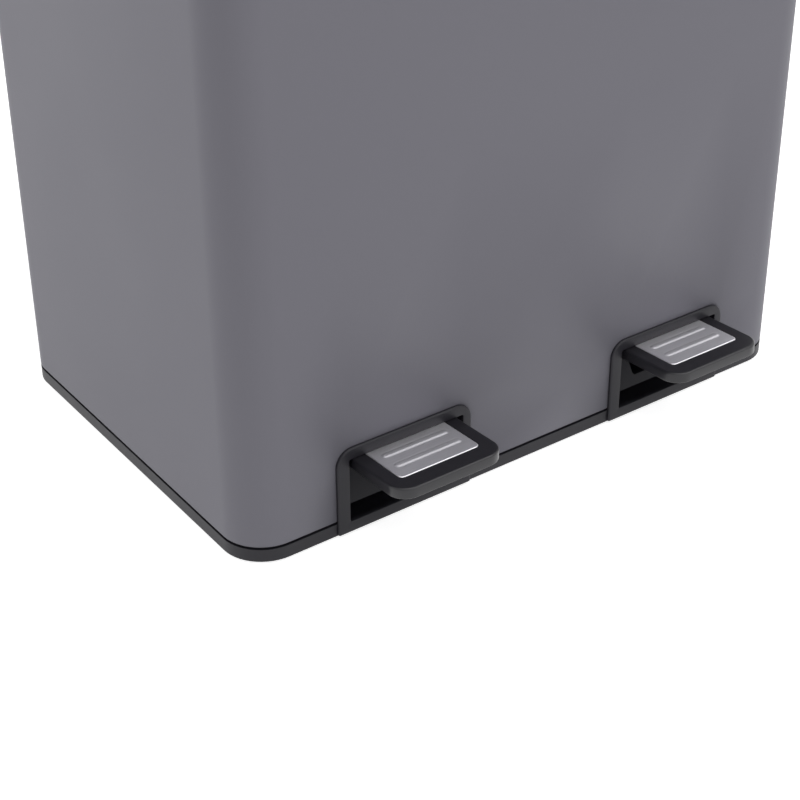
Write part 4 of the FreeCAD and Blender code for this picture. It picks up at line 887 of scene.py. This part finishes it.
        # two last circles, back at both ends, make the bore
        x = np.concatenate([x, [x[-1], x[0]]])
        radius = np.concatenate([radius, [wire + GRIP.play] * 2])
        line = np.column_stack([x, np.full(len(x), front), np.full(len(x), z)])
        turn = np.linspace(0, 2 * np.pi, GRIP.sides, endpoint=False)
        circle = np.stack([np.zeros(GRIP.sides), np.cos(turn), np.sin(turn)], 1)
        loops = line[:, None] + radius[:, None, None] * circle[None]
        loops_piece(name + "_handle_grip", loops, "base_plastic", name + "_bail", ring=True,
                    replaced=[name + "_bail_grip"])


class MakeScrews(bpy.types.Operator):
    """Makes the screws of the rod guides"""

    bl_idname = "bin.screws"
    bl_label = "Screws"

    def execute(self, context):
        for name, _ in SIDES:
            low, high = corners_of(name + "_rod_guide")
            places = [(pedal_middle(name) + x, high[1] - GUIDE.flange, (low[2] + high[2]) / 2)
                      for x in GUIDE.screws]
            screws_piece(name + "_guide_screws", places, (0, -1, 0),
                         context.scene.bin_sizes.screw_head, "cabinet")
        return {"FINISHED"}


class MakeStage(bpy.types.Operator):
    """Makes the floor, the lights, the world and the camera"""

    bl_idname = "bin.stage"
    bl_label = "Stage"

    def execute(self, context):
        stage = context.scene.bin_stage
        scene = context.scene
        scene.view_settings.view_transform = "Standard"
        self.floor()
        self.world(scene, stage)
        for name, place, target, extent in LAMPS:
            self.lamp(name, place, target, extent, getattr(stage, name))
        lens = bpy.data.cameras.new("camera")
        lens.lens = stage.lens
        lens.sensor_width = 36
        lens.shift_x = -0.03125
        lens.shift_y = -0.12
        lens.clip_end = 50
        camera = bpy.data.objects.new("camera", lens)
        camera.location = stage.camera
        camera.rotation_euler = (math.pi / 2 - stage.pitch, 0, -stage.yaw)
        scene.collection.objects.link(camera)
        scene.camera = camera
        return {"FINISHED"}

    def floor(self):
        """A level square under the bin that looks white and keeps a faint shadow."""
        finish = Finish("floor")
        pale = finish.node("ShaderNodeBsdfDiffuse", {}, {"Color": FLOOR_TONE})
        glow = finish.node("ShaderNodeEmission", {}, {"Color": FLOOR_TONE, "Strength": 1.0})
        white = finish.node("ShaderNodeAddShader", {}, {0: pale, 1: glow})
        mix = finish.node("ShaderNodeMixShader", {}, {0: finish.seen(), 1: pale, 2: white})
        finish.node("ShaderNodeOutputMaterial", {}, {"Surface": mix})
        corners = [(FLOOR_HALF * x, FLOOR_HALF * y, 0) for x, y in ((-1, -1), (1, -1), (1, 1), (-1, 1))]
        mesh = bpy.data.meshes.new("floor")
        mesh.from_pydata(corners, [], [(0, 1, 2, 3)])
        mesh.materials.append(finish.material)
        floor = bpy.data.objects.new("floor", mesh)
        bpy.context.scene.collection.objects.link(floor)

    def world(self, scene, stage):
        """An even grey sky, which the camera sees as white."""
        scene.world = bpy.data.worlds.new("studio")
        sky = Finish("studio", scene.world)
        grey = sky.node("ShaderNodeBackground", {}, {"Color": WHITE, "Strength": stage.sky})
        white = sky.node("ShaderNodeBackground", {}, {"Color": WHITE, "Strength": 1.0})
        mix = sky.node("ShaderNodeMixShader", {}, {0: sky.seen(), 1: grey, 2: white})
        sky.node("ShaderNodeOutputWorld", {}, {"Surface": mix})

    def lamp(self, name, place, target, extent, power):
        """A soft rectangular light that faces a target."""
        light = bpy.data.lights.new(name, "AREA")
        light.shape = "RECTANGLE"
        light.size, light.size_y = extent
        light.energy = power
        lamp = bpy.data.objects.new(name, light)
        lamp.location = place
        way = np.array(target, float) - np.array(place, float)
        lamp.rotation_euler = (math.acos(-way[2] / np.linalg.norm(way)), 0,
                               math.atan2(way[1], way[0]) - math.pi / 2)
        bpy.context.scene.collection.objects.link(lamp)


class BinPanel(bpy.types.Panel):
    """Lists the steps that dress the bin"""

    bl_idname = "VIEW3D_PT_pedal_bin"
    bl_label = "Pedal bin"
    bl_space_type = "VIEW_3D"
    bl_region_type = "UI"
    bl_category = "Pedal bin"

    def draw(self, context):
        for step in STEPS:
            self.layout.operator(step.bl_idname)
        for group in (context.scene.bin_sizes, context.scene.bin_colours,
                      context.scene.bin_stage):
            for name in group.__annotations__:
                self.layout.prop(group, name)


GROUPS = (BinSizes, BinColours, BinStage)
STEPS = (MakeFinishes, MakeBody, MakeSurrounds, MakePedals, MakeLids, MakeBuckets, MakeScrews,
         MakeStage)


def register():
    for item in GROUPS + STEPS + (BinPanel,):
        bpy.utils.register_class(item)
    bpy.types.Scene.bin_sizes = PointerProperty(type=BinSizes)
    bpy.types.Scene.bin_colours = PointerProperty(type=BinColours)
    bpy.types.Scene.bin_stage = PointerProperty(type=BinStage)


def unregister():
    del bpy.types.Scene.bin_stage
    del bpy.types.Scene.bin_colours
    del bpy.types.Scene.bin_sizes
    for item in reversed(GROUPS + STEPS + (BinPanel,)):
        bpy.utils.unregister_class(item)


def main():
    register()
    for step in STEPS:
        group, name = step.bl_idname.split(".")
        getattr(getattr(bpy.ops, group), name)()


if __name__ == "__main__":
    main()
